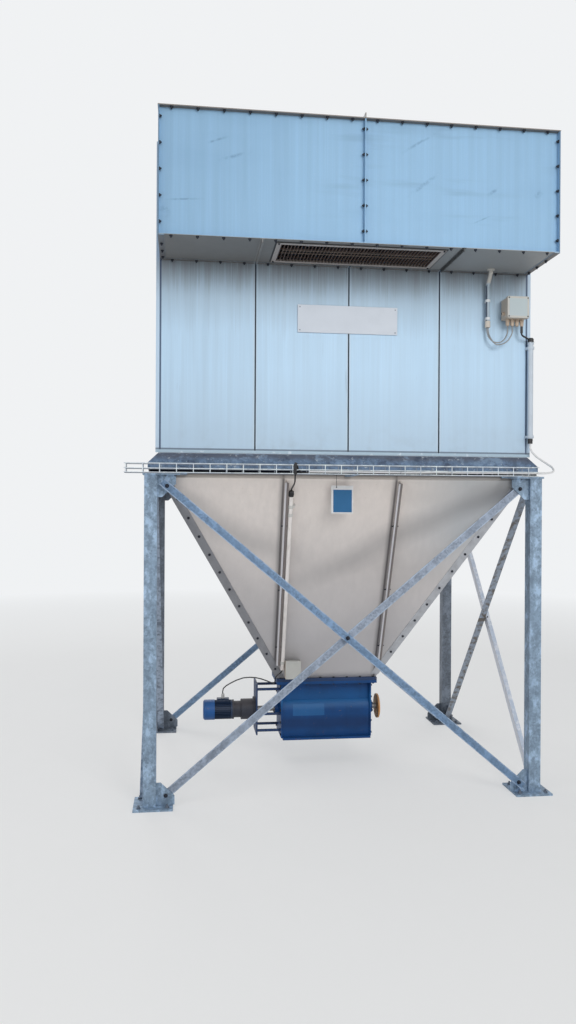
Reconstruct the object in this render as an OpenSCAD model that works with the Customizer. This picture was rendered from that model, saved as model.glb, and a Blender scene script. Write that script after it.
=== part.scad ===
// Dust filter unit: sheet metal filter housing with a head box, hopper, steel frame and rotary valve.
// Millimetres, +Z up. X runs to the right and the front faces -Y.
// The origin is on the floor, in the middle of the four legs.

/* [Frame] */
// Height of the legs, from the floor to the underside of the head plate
leg_top = 2068; // [1900:1:2300]
// How far the legs stand out beyond the housing's left and right walls
leg_out_x = 90; // [75:1:120]
// How far the legs stand out beyond the housing's front and rear walls
leg_out_y = 46; // [38:1:80]
// Side of the square tube of a leg
leg_side = 80; // [60:5:100]
// Wall of the square tube of a leg
leg_wall = 5; // [3:1:8]
// Thickness of a foot plate
foot_t = 12; // [8:1:20]
// Side of a foot plate
foot_side = 245; // [220:5:300]
// How far a foot plate stands out beyond its leg
foot_out = 59; // [40:1:70]
// Distance between the anchor holes of one foot plate
anchor_pitch = 175; // [150:5:200]
// Diameter of an anchor hole
anchor_d = 18; // [12:1:22]
// Thickness of a head plate
cap_t = 12; // [8:1:16]
// How far a head plate reaches inward from its leg
cap_in = 140; // [120:5:160]
// Thickness of a gusset
gusset_t = 8; // [6:1:12]
// Width of a gusset
gusset_w = 115; // [100:5:130]
// Height of a gusset
gusset_h = 138; // [120:2:160]
// Distance from the outer face of a leg to the middle of its gusset
gusset_set = 28; // [22:1:40]
// Leg of a brace's angle section
brace_a = 50; // [40:5:60]
// Thickness of a brace's angle section
brace_t = 5; // [4:1:8]
// Distance of a brace's bolt from the leg
brace_in = 60; // [50:5:80]
// Height of the lower bolt of a brace
brace_low = 70; // [65:5:90]
// Depth of the upper bolt of a brace below the leg's top
brace_drop = 68; // [60:2:90]
// Diameter of a brace's bolt hole
brace_hole_d = 13; // [9:1:17]
// Diameter of the packing washer between two crossing braces
washer_d = 40; // [30:1:48]
// How far a brace goes on beyond its bolts
brace_end = 40; // [20:1:42]

/* [Ring beam] */
// Height of the ring beam
beam_h = 60; // [50:5:80]
// Width of the ring beam
beam_w = 100; // [80:5:120]
// Wall of the ring beam
beam_wall = 4; // [3:1:8]
// Distance from the frame's outer face to the ring beam
beam_set = 26; // [10:1:34]
// Height of the sloped part of the skirt
skirt_rise = 65; // [40:5:80]
// Height of the skirt's lower lip
skirt_lip = 40; // [15:5:50]
// How far the skirt's foot stays inside the legs' outer faces
skirt_in = 20; // [16:1:24]
// Thickness of the skirt's sheet
skirt_t = 4; // [3:1:5]

/* [Housing] */
// Width of the filter housing
housing_w = 2400; // [2340:1:2420]
// Depth of the filter housing
housing_d = 1800; // [1760:1:1820]
// Height of the housing's wall panels
wall_h = 2010; // [1900:10:2200]
// Depth of a folded wall panel
panel_d = 40; // [30:5:50]
// Thickness of the wall sheet
sheet_t = 3; // [2:0.5:4]
// Number of panels across the front
front_panels = 4; // [3:1:5]
// Number of panels across a side
side_panels = 3; // [2:1:4]
// Groove between two panels
panel_gap = 5; // [2:1:8]
// Height of the rail along the foot of the wall
rail_h = 18; // [12:1:30]
// How far that rail stands out
rail_out = 8; // [5:1:10]
// Width of the flange at the housing's corners
corner_flange = 24; // [15:1:40]
// Height of the seams on the roof
roof_seam = 30; // [20:5:45]
// How far the roof stands out over the rear wall
roof_out = 26; // [24:1:40]
// How far the roof stands out over the side walls
roof_side = 3; // [2:1:30]

/* [Head box] */
// Height of the head box
head_h = 735; // [600:5:900]
// How far the head box stands out from the wall
head_out = 445; // [430:5:520]
// Width of the bolted flanges of the head box
head_flange = 30; // [20:5:40]
// Width of the flanges below the head box
soffit_flange = 35; // [25:5:45]
// Width of the middle part of the soffit
soffit_mid = 1200; // [1100:10:1300]
// How far the joints of the soffit stand down
soffit_seam = 18; // [10:1:25]
// Width of the air grille over its frame
grille_w = 1030; // [900:10:1060]
// Depth of the air grille over its frame
grille_d = 372; // [340:2:376]
// Width of the grille's frame
grille_rim = 30; // [20:2:40]
// Distance between two slats of the grille
slat_pitch = 21; // [18:1:30]
// Thickness of a slat
slat_t = 4; // [3:1:6]
// Height of a slat
slat_h = 12; // [8:1:16]

/* [Hopper] */
// Height of the hopper's straight collar
collar_h = 25; // [15:5:40]
// Distance from the housing's face to the hopper's collar
hopper_in = 5; // [5:1:12]
// Width of the hopper's outlet
outlet_w = 740; // [700:10:800]
// Depth of the hopper's outlet
outlet_d = 300; // [280:10:340]
// Thickness of the hopper's sheet
hopper_t = 3; // [3:0.5:5]
// Width of the corner angles
corner_w = 60; // [50:2:80]
// How far the standing seams stand out
seam_h = 45; // [30:5:60]
// Thickness of a standing seam
seam_t = 3; // [2:0.5:4]
// Lip along each half of a standing seam
seam_lip = 12; // [8:1:14]
// Lean of the standing seams and of the conduit beside them, in degrees
seam_lean = 1; // [0:0.1:1.5]

/* [Rotary valve] */
// Height of the valve's shaft above the floor
shaft_z = 372; // [350:1:400]
// Height of the valve's outlet above the floor
valve_bottom = 178; // [150:1:200]
// Height of the joint between the hopper and the valve
valve_top = 603; // [580:1:620]
// Thickness of the flange on the hopper's outlet
hopper_flange_t = 22; // [16:1:26]
// Thickness of the valve's inlet flange
inlet_flange_t = 20; // [16:1:24]
// Thickness of the valve's outlet flange
outlet_flange_t = 15; // [10:1:20]
// Width of the flanges outside the outlet
flange_w = 30; // [25:1:40]
// Length of the valve's body between its end plates
body_l = 650; // [600:10:680]
// Outer diameter of the valve's body
body_d = 270; // [260:2:280]
// Wall of the valve's body
body_wall = 12; // [8:1:16]
// Outer depth of the valve's inlet neck
neck_d = 210; // [190:5:230]
// Thickness of an end plate
end_t = 10; // [8:1:14]
// Depth of the end plates
end_d = 300; // [284:2:320]
// Number of vanes on the rotor
vanes = 8; // [6:1:10]
// Thickness of a vane
vane_t = 6; // [4:1:10]
// Running gap around the rotor
rotor_gap = 5.5; // [5:0.5:8]
// Diameter of the rotor's hub
hub_d = 76; // [60:2:100]
// Diameter of the shaft
shaft_d = 40; // [30:1:50]
// Radial clearance of the shaft in its bearings
shaft_gap = 0.1; // [0.05:0.05:0.3]
// Diameter of a bearing housing
bearing_d = 96; // [80:2:110]
// Length of a bearing housing
bearing_l = 34; // [20:2:40]
// Diameter of the disc on the shaft's end
disc_d = 180; // [140:2:200]
// Thickness of that disc
disc_t = 12; // [8:1:16]
// Diameter of the hole in the disc's middle
disc_bore = 16; // [10:1:24]
// Diameter of the six holes around it
disc_hole_d = 14; // [8:1:18]
// Distance from the disc's rim to those holes
disc_edge = 28; // [20:1:34]
// Distance from the valve's end plate to the disc
disc_out = 72; // [60:2:90]
// Distance from a flange's edge to its bolts
bolt_edge = 15; // [10:1:18]
// Diameter of the bolt holes of the outlet flange
outlet_hole_d = 11; // [9:1:14]

/* [Drive] */
// Distance from the valve's end plate to the drive plate
drive_out = 170; // [150:5:220]
// Thickness of the drive plate
drive_t = 10; // [8:1:16]
// Depth of the drive plate
drive_d = 240; // [200:10:280]
// Height of the drive plate
drive_h = 374; // [340:2:380]
// Diameter of a tie rod
rod_d = 20; // [14:1:26]
// Length of the gearbox
gear_l = 170; // [140:5:200]
// Diameter of the gearbox
gear_d = 150; // [120:5:180]
// Length of the finned motor housing
motor_l = 130; // [100:5:180]
// Diameter of the motor over its fins
motor_d = 140; // [110:2:160]
// Number of fins on the motor
fins = 32; // [20:2:40]
// Length of the fan cowl
cowl_l = 83; // [60:1:100]
// Diameter of the fan cowl
cowl_d = 147; // [120:1:170]

/* [Cable tray] */
// Left end of the cable tray
tray_left = -1400; // [-1450:10:-1300]
// Right end of the cable tray
tray_right = 1180; // [1000:10:1250]
// Distance from the housing's wall to the tray's front wires
tray_out = 245; // [220:5:300]
// Width of the tray
tray_w = 100; // [60:10:150]
// Height of the tray
tray_h = 54; // [50:1:60]
// Distance between the tray's cross wires
tray_pitch = 100; // [50:10:200]
// Diameter of a tray wire
wire_d = 5; // [4:0.5:6]
// Number of brackets under the tray
brackets = 3; // [2:1:7]

/* [Fittings] */
// Width of the junction box
box_w = 150; // [120:5:180]
// Height of the junction box
box_h = 158; // [120:2:200]
// Depth of the junction box
box_d = 115; // [90:5:130]
// Height of the junction box's lower face above the floor
box_z = 3066; // [2900:1:3200]
// Distance from the housing's middle to the junction box's middle
box_x = 1090; // [1050:5:1100]
// Diameter of the conduit at the housing's corner
corner_pipe_d = 34; // [25:1:40]
// Height of that conduit's lower end
corner_pipe_z = 2330; // [2300:5:2400]
// Length of that conduit
corner_pipe_l = 634; // [500:2:700]
// Diameter of the cables between the soffit's pipe and the box
hose_d = 8; // [6:0.5:9]
// Diameter of the small conduits
pipe_d = 25; // [20:1:28]
// Distance from the housing's middle to the pipe below the soffit
soffit_pipe_x = 915; // [880:5:940]
// Height of that pipe's lower end
soffit_pipe_z = 3052; // [3000:2:3100]
// Distance from the hopper's seam to the middle of its conduit
conduit_side = 30; // [28:1:36]
// Distance from the slope's upper edge to the conduit's upper end
conduit_head = 100; // [60:5:200]
// Distance from the slope's lower edge to the conduit's lower end
conduit_low = 112; // [90:2:200]
// Width of the small switch box on the hopper
switch_w = 110; // [90:2:130]
// Height of the small switch box
switch_h = 128; // [100:2:150]
// Depth of the small switch box
switch_d = 62; // [50:2:70]
// Height of the switch box above the hopper's flange
switch_up = 22; // [15:1:60]

/* [Hidden] */
$fn = 40;
// Small gap left where two flat pieces meet in one plane.
fit = 0.4;
eps = 1;

galvanised = [0.66, 0.70, 0.74];
pale_sheet = [0.72, 0.80, 0.87];
hopper_grey = [0.66, 0.63, 0.59];
valve_blue = [0.10, 0.28, 0.62];
disc_orange = [0.90, 0.50, 0.18];
box_beige = [0.80, 0.76, 0.68];
slat_brown = [0.22, 0.18, 0.16];
cable_black = [0.06, 0.06, 0.07];
cable_grey = [0.62, 0.63, 0.63];

leg_x = housing_w / 2 + leg_out_x;
leg_y = housing_d / 2 + leg_out_y;
leg_in_x = leg_x - leg_side;
leg_in_y = leg_y - leg_side;
beam_z = leg_top + cap_t;
beam_top = beam_z + beam_h;
beam_x = leg_x - beam_set;
beam_y = leg_y - beam_set;
wall_x = housing_w / 2;
wall_y = housing_d / 2;
skirt_z = beam_top - skirt_lip + 5;
skirt_top = skirt_z + skirt_lip + skirt_rise;
roof_z = beam_top + wall_h;
soffit_z = roof_z - head_h;
head_y = wall_y + head_out;
rim_y = head_y + head_flange;
hopper_x = wall_x - hopper_in;
hopper_y = wall_y - hopper_in;
slope_top = beam_z - collar_h;
slope_low = valve_top + hopper_flange_t;
slope_h = slope_top - slope_low;
corner_rise = 25;
seam_gap = 2;
run_x = hopper_x - outlet_w / 2;
run_y = hopper_y - outlet_d / 2;
slope_len_x = norm([run_x, slope_h]);
slope_len_y = norm([run_y, slope_h]);
valve_end_x = body_l / 2;
bore_r = body_d / 2 - body_wall;
rotor_r = bore_r - rotor_gap;
drive_x = -(valve_end_x + end_t + drive_out);
tray_y = -(wall_y + tray_out);
tray_z = beam_z - 5;
brace_high = leg_top - brace_drop;

// A block between two opposite corners.
module block(low, high) {
  translate(low) cube(high - low);
}

// A round bar along X, with its start given.
module bar_x(start, length, d) {
  translate(start) rotate([0, 90, 0]) cylinder(h = length, d = d);
}

// The front side of a four-sided shell that tapers from its top to its foot.
// Its ends are mitred, and half sizes are given as [x, y].
module shell_side(top, foot, z_top, z_foot, t) {
  o = fit / 2;
  polyhedron(
    points = [
      [-foot[0] + o, -foot[1], z_foot], [foot[0] - o, -foot[1], z_foot],
      [top[0] - o, -top[1], z_top], [-top[0] + o, -top[1], z_top],
      [-foot[0] + o + t, -foot[1] + t, z_foot], [foot[0] - o - t, -foot[1] + t, z_foot],
      [top[0] - o - t, -top[1] + t, z_top], [-top[0] + o + t, -top[1] + t, z_top]
    ],
    faces = [[3, 2, 1, 0], [4, 5, 6, 7], [5, 4, 0, 1], [7, 6, 2, 3], [4, 7, 3, 0], [6, 5, 1, 2]]
  );
}

// Turns a side that was drawn at the front to each of the four sides.
module at_side(n) {
  rotate(90 * n) children();
}

function half_for(n, x, y) = n % 2 == 0 ? [x, y] : [y, x];

// Frame

module gusset() {
  // Drawn beside the leg's inner face, with its lower edge on the plate.
  translate([0, gusset_t / 2, 0]) rotate([90, 0, 0]) linear_extrude(gusset_t) difference() {
    polygon([[0, 0], [gusset_w, 0], [gusset_w, gusset_h * 0.4], [gusset_w * 0.25, gusset_h], [0, gusset_h]]);
    translate([brace_in, brace_low - foot_t]) circle(d = brace_hole_d);
  }
}

module gusset_top() {
  translate([0, gusset_t / 2, 0]) rotate([90, 0, 0]) linear_extrude(gusset_t) difference() {
    polygon([[0, 0], [0, -gusset_h], [gusset_w * 0.25, -gusset_h], [gusset_w, -gusset_h * 0.4],
             [gusset_w, 0]]);
    translate([brace_in, -brace_drop]) circle(d = brace_hole_d);
  }
}

// The front left leg. The other three are its mirror images.
module leg() {
  difference() {
    union() {
      block([-leg_x, -leg_y, foot_t], [-leg_in_x, -leg_in_y, leg_top]);
      block([-leg_x - foot_out, -leg_y - foot_out, 0],
            [-leg_x - foot_out + foot_side, -leg_y - foot_out + foot_side, foot_t]);
      block([-leg_x - 10, -leg_y - 10, leg_top], [-leg_in_x, -leg_in_y + 10, beam_z]);
      block([-leg_x - 10, -leg_y - 10, leg_top], [-leg_in_x + cap_in, -wall_y + hopper_in - 2, beam_z]);
      translate([-leg_in_x, -leg_y + gusset_set, foot_t]) gusset();
      translate([-leg_in_x, -leg_y + gusset_set, leg_top]) gusset_top();
      translate([-leg_x + gusset_set, -leg_in_y, foot_t]) rotate(90) gusset();
      translate([-leg_x + gusset_set, -leg_in_y, leg_top]) rotate(90) gusset_top();
    }
    block([-leg_x + leg_wall, -leg_y + leg_wall, foot_t],
          [-leg_in_x - leg_wall, -leg_in_y - leg_wall, leg_top]);
    for (ix = [-1, 1], iy = [-1, 1])
      translate([-leg_x - foot_out + foot_side / 2 + ix * anchor_pitch / 2,
                 -leg_y - foot_out + foot_side / 2 + iy * anchor_pitch / 2, -eps])
        cylinder(h = foot_t + 2 * eps, d = anchor_d);
  }
}

module front_left_leg() {
  color(galvanised) leg();
}

module front_right_leg() {
  color(galvanised) mirror([1, 0, 0]) leg();
}

module rear_left_leg() {
  color(galvanised) mirror([0, 1, 0]) leg();
}

module rear_right_leg() {
  color(galvanised) mirror([1, 0, 0]) mirror([0, 1, 0]) leg();
}

// An angle bar in the plane Y = 0 that falls from the left to the right over a half span.
// Its flat leg starts at Y = 0 and its other leg, at the lower edge, goes the same way.
module brace(half_span, way) {
  fall = brace_high - brace_low;
  slope = atan2(fall, 2 * half_span);
  length = norm([fall, 2 * half_span]) + 2 * brace_end;
  y_flat = way < 0 ? -brace_t : 0;
  y_foot = way < 0 ? -brace_a : 0;
  translate([0, 0, (brace_high + brace_low) / 2]) rotate([0, slope, 0]) difference() {
    union() {
      translate([-length / 2, y_flat, -brace_a / 2]) cube([length, brace_t, brace_a]);
      translate([-length / 2, y_foot, -brace_a / 2]) cube([length, brace_a, brace_t]);
      // Packing washer between the two crossing bars.
      if (way > 0)
        rotate([90, 0, 0]) cylinder(h = gusset_t, d = washer_d);
    }
    for (x = [-length / 2 + brace_end, 0, length / 2 - brace_end])
      translate([x, brace_a, 0]) rotate([90, 0, 0]) cylinder(h = 2 * brace_a, d = brace_hole_d);
  }
}

// The pair of crossing bars of one side, with the side's half span and its plane.
module brace_outer(half_span, plane) {
  color(galvanised) translate([0, -plane - gusset_t / 2, 0]) brace(half_span, -1);
}

module brace_inner(half_span, plane) {
  color(galvanised) translate([0, -plane + gusset_t / 2, 0]) mirror([1, 0, 0]) brace(half_span, 1);
}

span_x = leg_in_x - brace_in;
span_y = leg_in_y - brace_in;
plane_x = leg_x - gusset_set;
plane_y = leg_y - gusset_set;

module braces_outer() {
  brace_outer(span_x, plane_y);
  at_side(2) brace_outer(span_x, plane_y);
  at_side(3) brace_outer(span_y, plane_x);
  at_side(1) mirror([1, 0, 0]) brace_outer(span_y, plane_x);
}

module braces_inner() {
  brace_inner(span_x, plane_y);
  at_side(2) brace_inner(span_x, plane_y);
  at_side(3) brace_inner(span_y, plane_x);
  at_side(1) mirror([1, 0, 0]) brace_inner(span_y, plane_x);
}

// A channel along X, centred, that opens to the front, with its front edges on Y = 0.
module beam(length) {
  difference() {
    translate([-length / 2, 0, 0]) cube([length, beam_w, beam_h]);
    translate([-length / 2 + beam_wall, -eps, beam_wall])
      cube([length - 2 * beam_wall, beam_w - beam_wall + eps, beam_h - 2 * beam_wall]);
  }
}

module ring_beam() {
  color(galvanised) for (n = [0, 1, 2, 3]) {
    length = n % 2 == 0 ? 2 * beam_x : 2 * (beam_y - beam_w - fit);
    at_side(n) translate([0, -half_for(n, beam_x, beam_y)[1], beam_z]) beam(length);
  }
}

module skirt() {
  color(galvanised) for (n = [0, 1, 2, 3]) at_side(n) {
    foot = half_for(n, leg_x - skirt_in, leg_y - skirt_in);
    top = half_for(n, wall_x + skirt_t, wall_y + skirt_t);
    shell_side(top, foot, skirt_top, skirt_z + skirt_lip, skirt_t);
    shell_side(foot, foot, skirt_z + skirt_lip, skirt_z, skirt_t);
  }
}

// Housing

// A folded panel: a flat sheet with its four edges turned back.
module cassette(width, height) {
  difference() {
    cube([width, panel_d, height]);
    translate([sheet_t, sheet_t, sheet_t]) cube([width - 2 * sheet_t, panel_d, height - 2 * sheet_t]);
  }
}

// A row of panels centred on X, with the outer face on Y = 0 and the foot on Z = 0.
module panel_row(width, height, count) {
  pitch = (width + panel_gap) / count;
  for (i = [0 : count - 1])
    translate([-width / 2 + i * pitch, 0, 0]) cassette(pitch - panel_gap, height);
}

// The rail that runs along the foot of a wall, above the skirt.
module wall_rail(width) {
  translate([-width / 2, -rail_out, skirt_top + fit]) cube([width, rail_out + sheet_t, rail_h]);
}

// A full-width wall with the flanges that stand out at the two corners.
module long_wall(height) {
  translate([0, -wall_y, beam_top]) panel_row(housing_w, height, front_panels);
  translate([0, -wall_y, 0]) {
    wall_rail(housing_w);
    for (side = [0, 1]) mirror([side, 0, 0])
      block([wall_x - (height < wall_h ? 0 : sheet_t), 0, skirt_top + fit],
            [wall_x + corner_flange, sheet_t, roof_z]);
  }
}

module wall_front() {
  inner = wall_x - sheet_t - fit;
  color(pale_sheet) {
    long_wall(soffit_z - beam_top);
    // The upper edge is turned forward and carries the soffit.
    block([-inner, -wall_y - soffit_flange, soffit_z - sheet_t], [inner, -wall_y + sheet_t, soffit_z]);
  }
}

module wall_rear() { color(pale_sheet) at_side(2) long_wall(wall_h); }

module side_wall() {
  depth = housing_d - 2 * panel_d - 2 * fit;
  translate([0, -wall_x, beam_top]) panel_row(depth, wall_h, side_panels);
  translate([0, -wall_x, 0]) wall_rail(depth);
}

module wall_left() { color(pale_sheet) at_side(3) side_wall(); }

module wall_right() { color(pale_sheet) at_side(1) side_wall(); }

module roof() {
  half = wall_x + roof_side;
  color(galvanised) for (side = [-1, 1]) {
    x0 = side < 0 ? -half : fit / 2;
    x1 = side < 0 ? -fit / 2 : half;
    block([x0, -rim_y, roof_z], [x1, wall_y + roof_out, roof_z + sheet_t]);
    block([side < 0 ? -sheet_t - fit / 2 : fit / 2, -rim_y, roof_z],
          [side < 0 ? -fit / 2 : sheet_t + fit / 2, wall_y + roof_out, roof_z + roof_seam]);
  }
}

// Head box

// A sheet with its four edges turned forward, centred on X, face on Y = 0.
module tray_panel(width, height) {
  difference() {
    translate([0, -head_flange, 0]) cube([width, head_flange + sheet_t, height]);
    translate([sheet_t, -head_flange - eps, sheet_t])
      cube([width - 2 * sheet_t, head_flange + eps, height - 2 * sheet_t]);
  }
}

module head_front() {
  low = soffit_z + sheet_t;
  width = wall_x - sheet_t - 1.5 * fit;
  color(pale_sheet) for (x0 = [-width - fit / 2, fit / 2])
    translate([x0, -head_y, low]) tray_panel(width, roof_z - low);
}

module head_end() {
  // Drawn for the right end.
  low = soffit_z - sheet_t;
  side = wall_x - sheet_t;
  block([side, -rim_y, low], [wall_x - fit, -wall_y - fit, roof_z]);
  block([side, -wall_y - 2 * fit, soffit_z + sheet_t + fit], [wall_x - fit, -wall_y + panel_d, roof_z]);
  // The lower edge is turned inward and carries the soffit.
  block([wall_x - soffit_flange, -rim_y, low], [wall_x - fit, -wall_y - soffit_flange - fit, soffit_z]);
}

module head_left() { color(pale_sheet) mirror([1, 0, 0]) head_end(); }

module head_right() { color(pale_sheet) head_end(); }

grille_y = -wall_y - (head_out - soffit_flange) / 2 - soffit_flange;

module soffit() {
  inner = wall_x - sheet_t - fit;
  mid = soffit_mid / 2;
  seam_foot = -rim_y + 1;
  seam_head = -wall_y - soffit_flange - 2 * fit;
  color(galvanised) translate([0, 0, soffit_z]) {
    for (side = [0, 1]) mirror([side, 0, 0]) {
      block([mid + fit, -rim_y, 0], [inner, -wall_y - fit, sheet_t]);
      block([mid + fit, seam_foot, -soffit_seam], [mid + fit + sheet_t, seam_head, 1]);
    }
    difference() {
      block([-mid, -rim_y, 0], [mid, -wall_y - fit, sheet_t]);
      translate([-grille_in_w / 2 - grille_lip, grille_y - grille_in_d / 2 - grille_lip, -eps])
        cube([grille_in_w + 2 * grille_lip, grille_in_d + 2 * grille_lip, sheet_t + 2 * eps]);
    }
  }
}

grille_in_w = grille_w - 2 * grille_rim;
grille_in_d = grille_d - 2 * grille_rim;
grille_lip = 5;

// A flat rim below the soffit, with a sleeve that goes up through it.
module grille_frame() {
  color(galvanised) translate([0, grille_y, soffit_z]) difference() {
    union() {
      translate([-grille_w / 2, -grille_d / 2, -slat_t]) cube([grille_w, grille_d, slat_t]);
      translate([-grille_in_w / 2 - grille_lip + fit, -grille_in_d / 2 - grille_lip + fit, -1])
        cube([grille_in_w + 2 * (grille_lip - fit), grille_in_d + 2 * (grille_lip - fit), slat_h]);
    }
    translate([-grille_in_w / 2, -grille_in_d / 2, -slat_h])
      cube([grille_in_w, grille_in_d, 3 * slat_h]);
  }
}

// Slats from front to back, tied by three lengthwise bars.
module vent_grille() {
  w = grille_in_w - 2 * fit;
  d = grille_in_d - 2 * fit;
  count = floor(w / slat_pitch);
  color(slat_brown) translate([0, grille_y, soffit_z - slat_t]) {
    for (i = [0 : count])
      translate([-w / 2 + i * (w - slat_t) / count, -d / 2, 0]) cube([slat_t, d, slat_h]);
    for (i = [1, 2, 3])
      translate([-w / 2, -d / 2 + i * d / 4 - slat_t / 2, slat_t / 2]) cube([w, slat_t, slat_t]);
  }
}

// Hopper

module hopper_side(n) {
  top = half_for(n, hopper_x, hopper_y);
  foot = half_for(n, outlet_w / 2, outlet_d / 2);
  run = top[1] - foot[1];
  length = norm([run, slope_h]);
  lean = atan2(run, slope_h);
  // The seams end above the arms of the corner angles.
  half = seam_lip + seam_gap / 2;
  cut = (corner_w + half + 1) / ((top[0] - foot[0]) / length - tan(seam_lean));
  at_side(n) {
    shell_side(top, top, beam_z, slope_top, hopper_t);
    shell_side(top, foot, slope_top, slope_low, hopper_t);
    // On the wide sides, two standing seams rise from the corners of the outlet. Each is a pair of
    // flanges with lips. The narrow sides are made in one piece.
    if (n % 2 == 0) for (x = [-1, 1])
      translate([x * foot[0], -top[1], slope_top]) rotate([lean, 0, 0])
        translate([0, 0, -length]) rotate([0, -seam_lean, 0])
          for (m = [0, 1]) mirror([m, 0, 0]) translate([seam_gap / 2, -seam_h, cut]) {
            cube([seam_t, seam_h + 1, length - cut - 10]);
            cube([seam_lip, seam_t, length - cut - 10]);
          }
  }
}

module hopper_front() { color(hopper_grey) hopper_side(0); }

module hopper_rear() { color(hopper_grey) hopper_side(2); }

module hopper_left() { color(hopper_grey) hopper_side(3); }

module hopper_right() { color(hopper_grey) hopper_side(1); }

// One arm of a corner angle, flat on the left edge of a side that is drawn at the front.
module corner_arm(top, foot) {
  run = top[1] - foot[1];
  length = norm([run, slope_h]);
  low = foot[0] + (top[0] - foot[0]) * corner_rise / length;
  translate([0, -top[1], slope_top]) rotate([atan2(run, slope_h), 0, 0])
    translate([0, -fit, 0]) rotate([90, 0, 0]) linear_extrude(hopper_t)
      polygon([[-top[0], 0], [-low, corner_rise - length], [corner_w - low, corner_rise - length],
               [corner_w - top[0], 0]]);
}

module hopper_corners() {
  color(hopper_grey) for (n = [0 : 3], side = [0, 1])
    at_side(n) mirror([side, 0, 0])
      corner_arm(half_for(n, hopper_x, hopper_y), half_for(n, outlet_w / 2, outlet_d / 2));
}

// A rectangular flange with an opening, centred, from z_low upward.
module frame_plate(x_out, y_out, x_in, y_in, z_low, t) {
  difference() {
    translate([-x_out, -y_out, z_low]) cube([2 * x_out, 2 * y_out, t]);
    translate([-x_in, -y_in, z_low - eps]) cube([2 * x_in, 2 * y_in, t + 2 * eps]);
  }
}

module hopper_flange() {
  color(valve_blue)
    frame_plate(outlet_w / 2, outlet_d / 2 + flange_w, outlet_w / 2 - flange_w, outlet_d / 2 - flange_w,
                valve_top, hopper_flange_t);
}

// Rotary valve

inlet_half_y = neck_d / 2 - body_wall;

module valve_body() {
  half = valve_end_x;
  flange_y = outlet_d / 2 + flange_w;
  color(valve_blue) difference() {
    union() {
      bar_x([-half, 0, shaft_z], body_l, body_d);
      block([-half, -neck_d / 2, shaft_z], [half, neck_d / 2, valve_top]);
      block([-half, -body_d / 2, valve_bottom], [half, body_d / 2, shaft_z]);
      block([-outlet_w / 2, -flange_y, valve_top - inlet_flange_t], [outlet_w / 2, flange_y, valve_top]);
      block([-half, -flange_y, valve_bottom], [half, flange_y, valve_bottom + outlet_flange_t]);
    }
    bar_x([-half - eps, 0, shaft_z], body_l + 2 * eps, 2 * bore_r);
    block([-half + body_wall, -inlet_half_y, shaft_z], [half - body_wall, inlet_half_y, valve_top + eps]);
    block([-half + body_wall, -inlet_half_y, valve_bottom - eps], [half - body_wall, inlet_half_y, shaft_z]);
    for (x = [-1, -1 / 3, 1 / 3, 1], y = [-1, 1])
      translate([x * (half - bolt_edge), y * (flange_y - bolt_edge), valve_bottom - eps])
        cylinder(h = outlet_flange_t + 2 * eps, d = outlet_hole_d);
  }
}

// End plate with its bearing housing, drawn for the right end.
module valve_end() {
  top = valve_top - inlet_flange_t - fit;
  color(valve_blue) difference() {
    union() {
      block([valve_end_x + fit, -end_d / 2, valve_bottom + 8], [valve_end_x + fit + end_t, end_d / 2, top]);
      bar_x([valve_end_x + fit, 0, shaft_z], end_t + bearing_l, bearing_d);
    }
    bar_x([valve_end_x - eps, 0, shaft_z], end_t + bearing_l + 3 * eps, shaft_d + 2 * shaft_gap);
  }
}

module valve_end_right() { valve_end(); }

module valve_end_left() { mirror([1, 0, 0]) valve_end(); }

shaft_left = drive_x - drive_t - 50;
shaft_right = valve_end_x + end_t + disc_out;

module rotor() {
  rotor_l = body_l - 2 * rotor_gap;
  color(galvanised) {
    bar_x([shaft_left, 0, shaft_z], shaft_right - shaft_left, shaft_d);
    bar_x([-rotor_l / 2, 0, shaft_z], rotor_l, hub_d);
    for (i = [0 : vanes - 1])
      translate([0, 0, shaft_z]) rotate([(i + 0.5) * 360 / vanes, 0, 0])
        translate([-rotor_l / 2, -vane_t / 2, hub_d / 2 - 4])
          cube([rotor_l, vane_t, rotor_r - hub_d / 2 + 4]);
  }
}

module shaft_disc() {
  color(disc_orange) difference() {
    bar_x([shaft_right, 0, shaft_z], disc_t, disc_d);
    bar_x([shaft_right - eps, 0, shaft_z], disc_t + 3 * eps, disc_bore);
    for (i = [0 : 5])
      translate([0, 0, shaft_z]) rotate([i * 60, 0, 0])
        bar_x([shaft_right - eps, disc_d / 2 - disc_edge, 0], disc_t + 3 * eps, disc_hole_d);
  }
}

// Drive

rod_y = drive_d / 2 - 24;
rod_zs = [shaft_z + 164, shaft_z - 18, shaft_z - 138];

module drive_bracket() {
  plate_low = shaft_z - drive_h / 2 + 20;
  color(valve_blue) {
    difference() {
      block([drive_x - drive_t, -drive_d / 2, plate_low], [drive_x, drive_d / 2, plate_low + drive_h]);
      bar_x([drive_x - drive_t - eps, 0, shaft_z], drive_t + 2 * eps, shaft_d + 12);
    }
    for (y = [-1, 1], z = rod_zs)
      bar_x([drive_x - eps, y * rod_y, z], drive_out + eps - fit, rod_d);
  }
}

module gearbox() {
  x = drive_x - drive_t - fit;
  color(cable_grey) difference() {
    union() {
      bar_x([x - 14, 0, shaft_z], 14, gear_d + 30);
      bar_x([x - gear_l * 0.62, 0, shaft_z], gear_l * 0.62, gear_d);
      bar_x([x - gear_l, 0, shaft_z], gear_l, gear_d * 0.8);
      bar_x([x - gear_l, 0, shaft_z], 12, gear_d * 0.94);
    }
    bar_x([x - 58, 0, shaft_z], 60, shaft_d + 2 * shaft_gap);
  }
}

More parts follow.
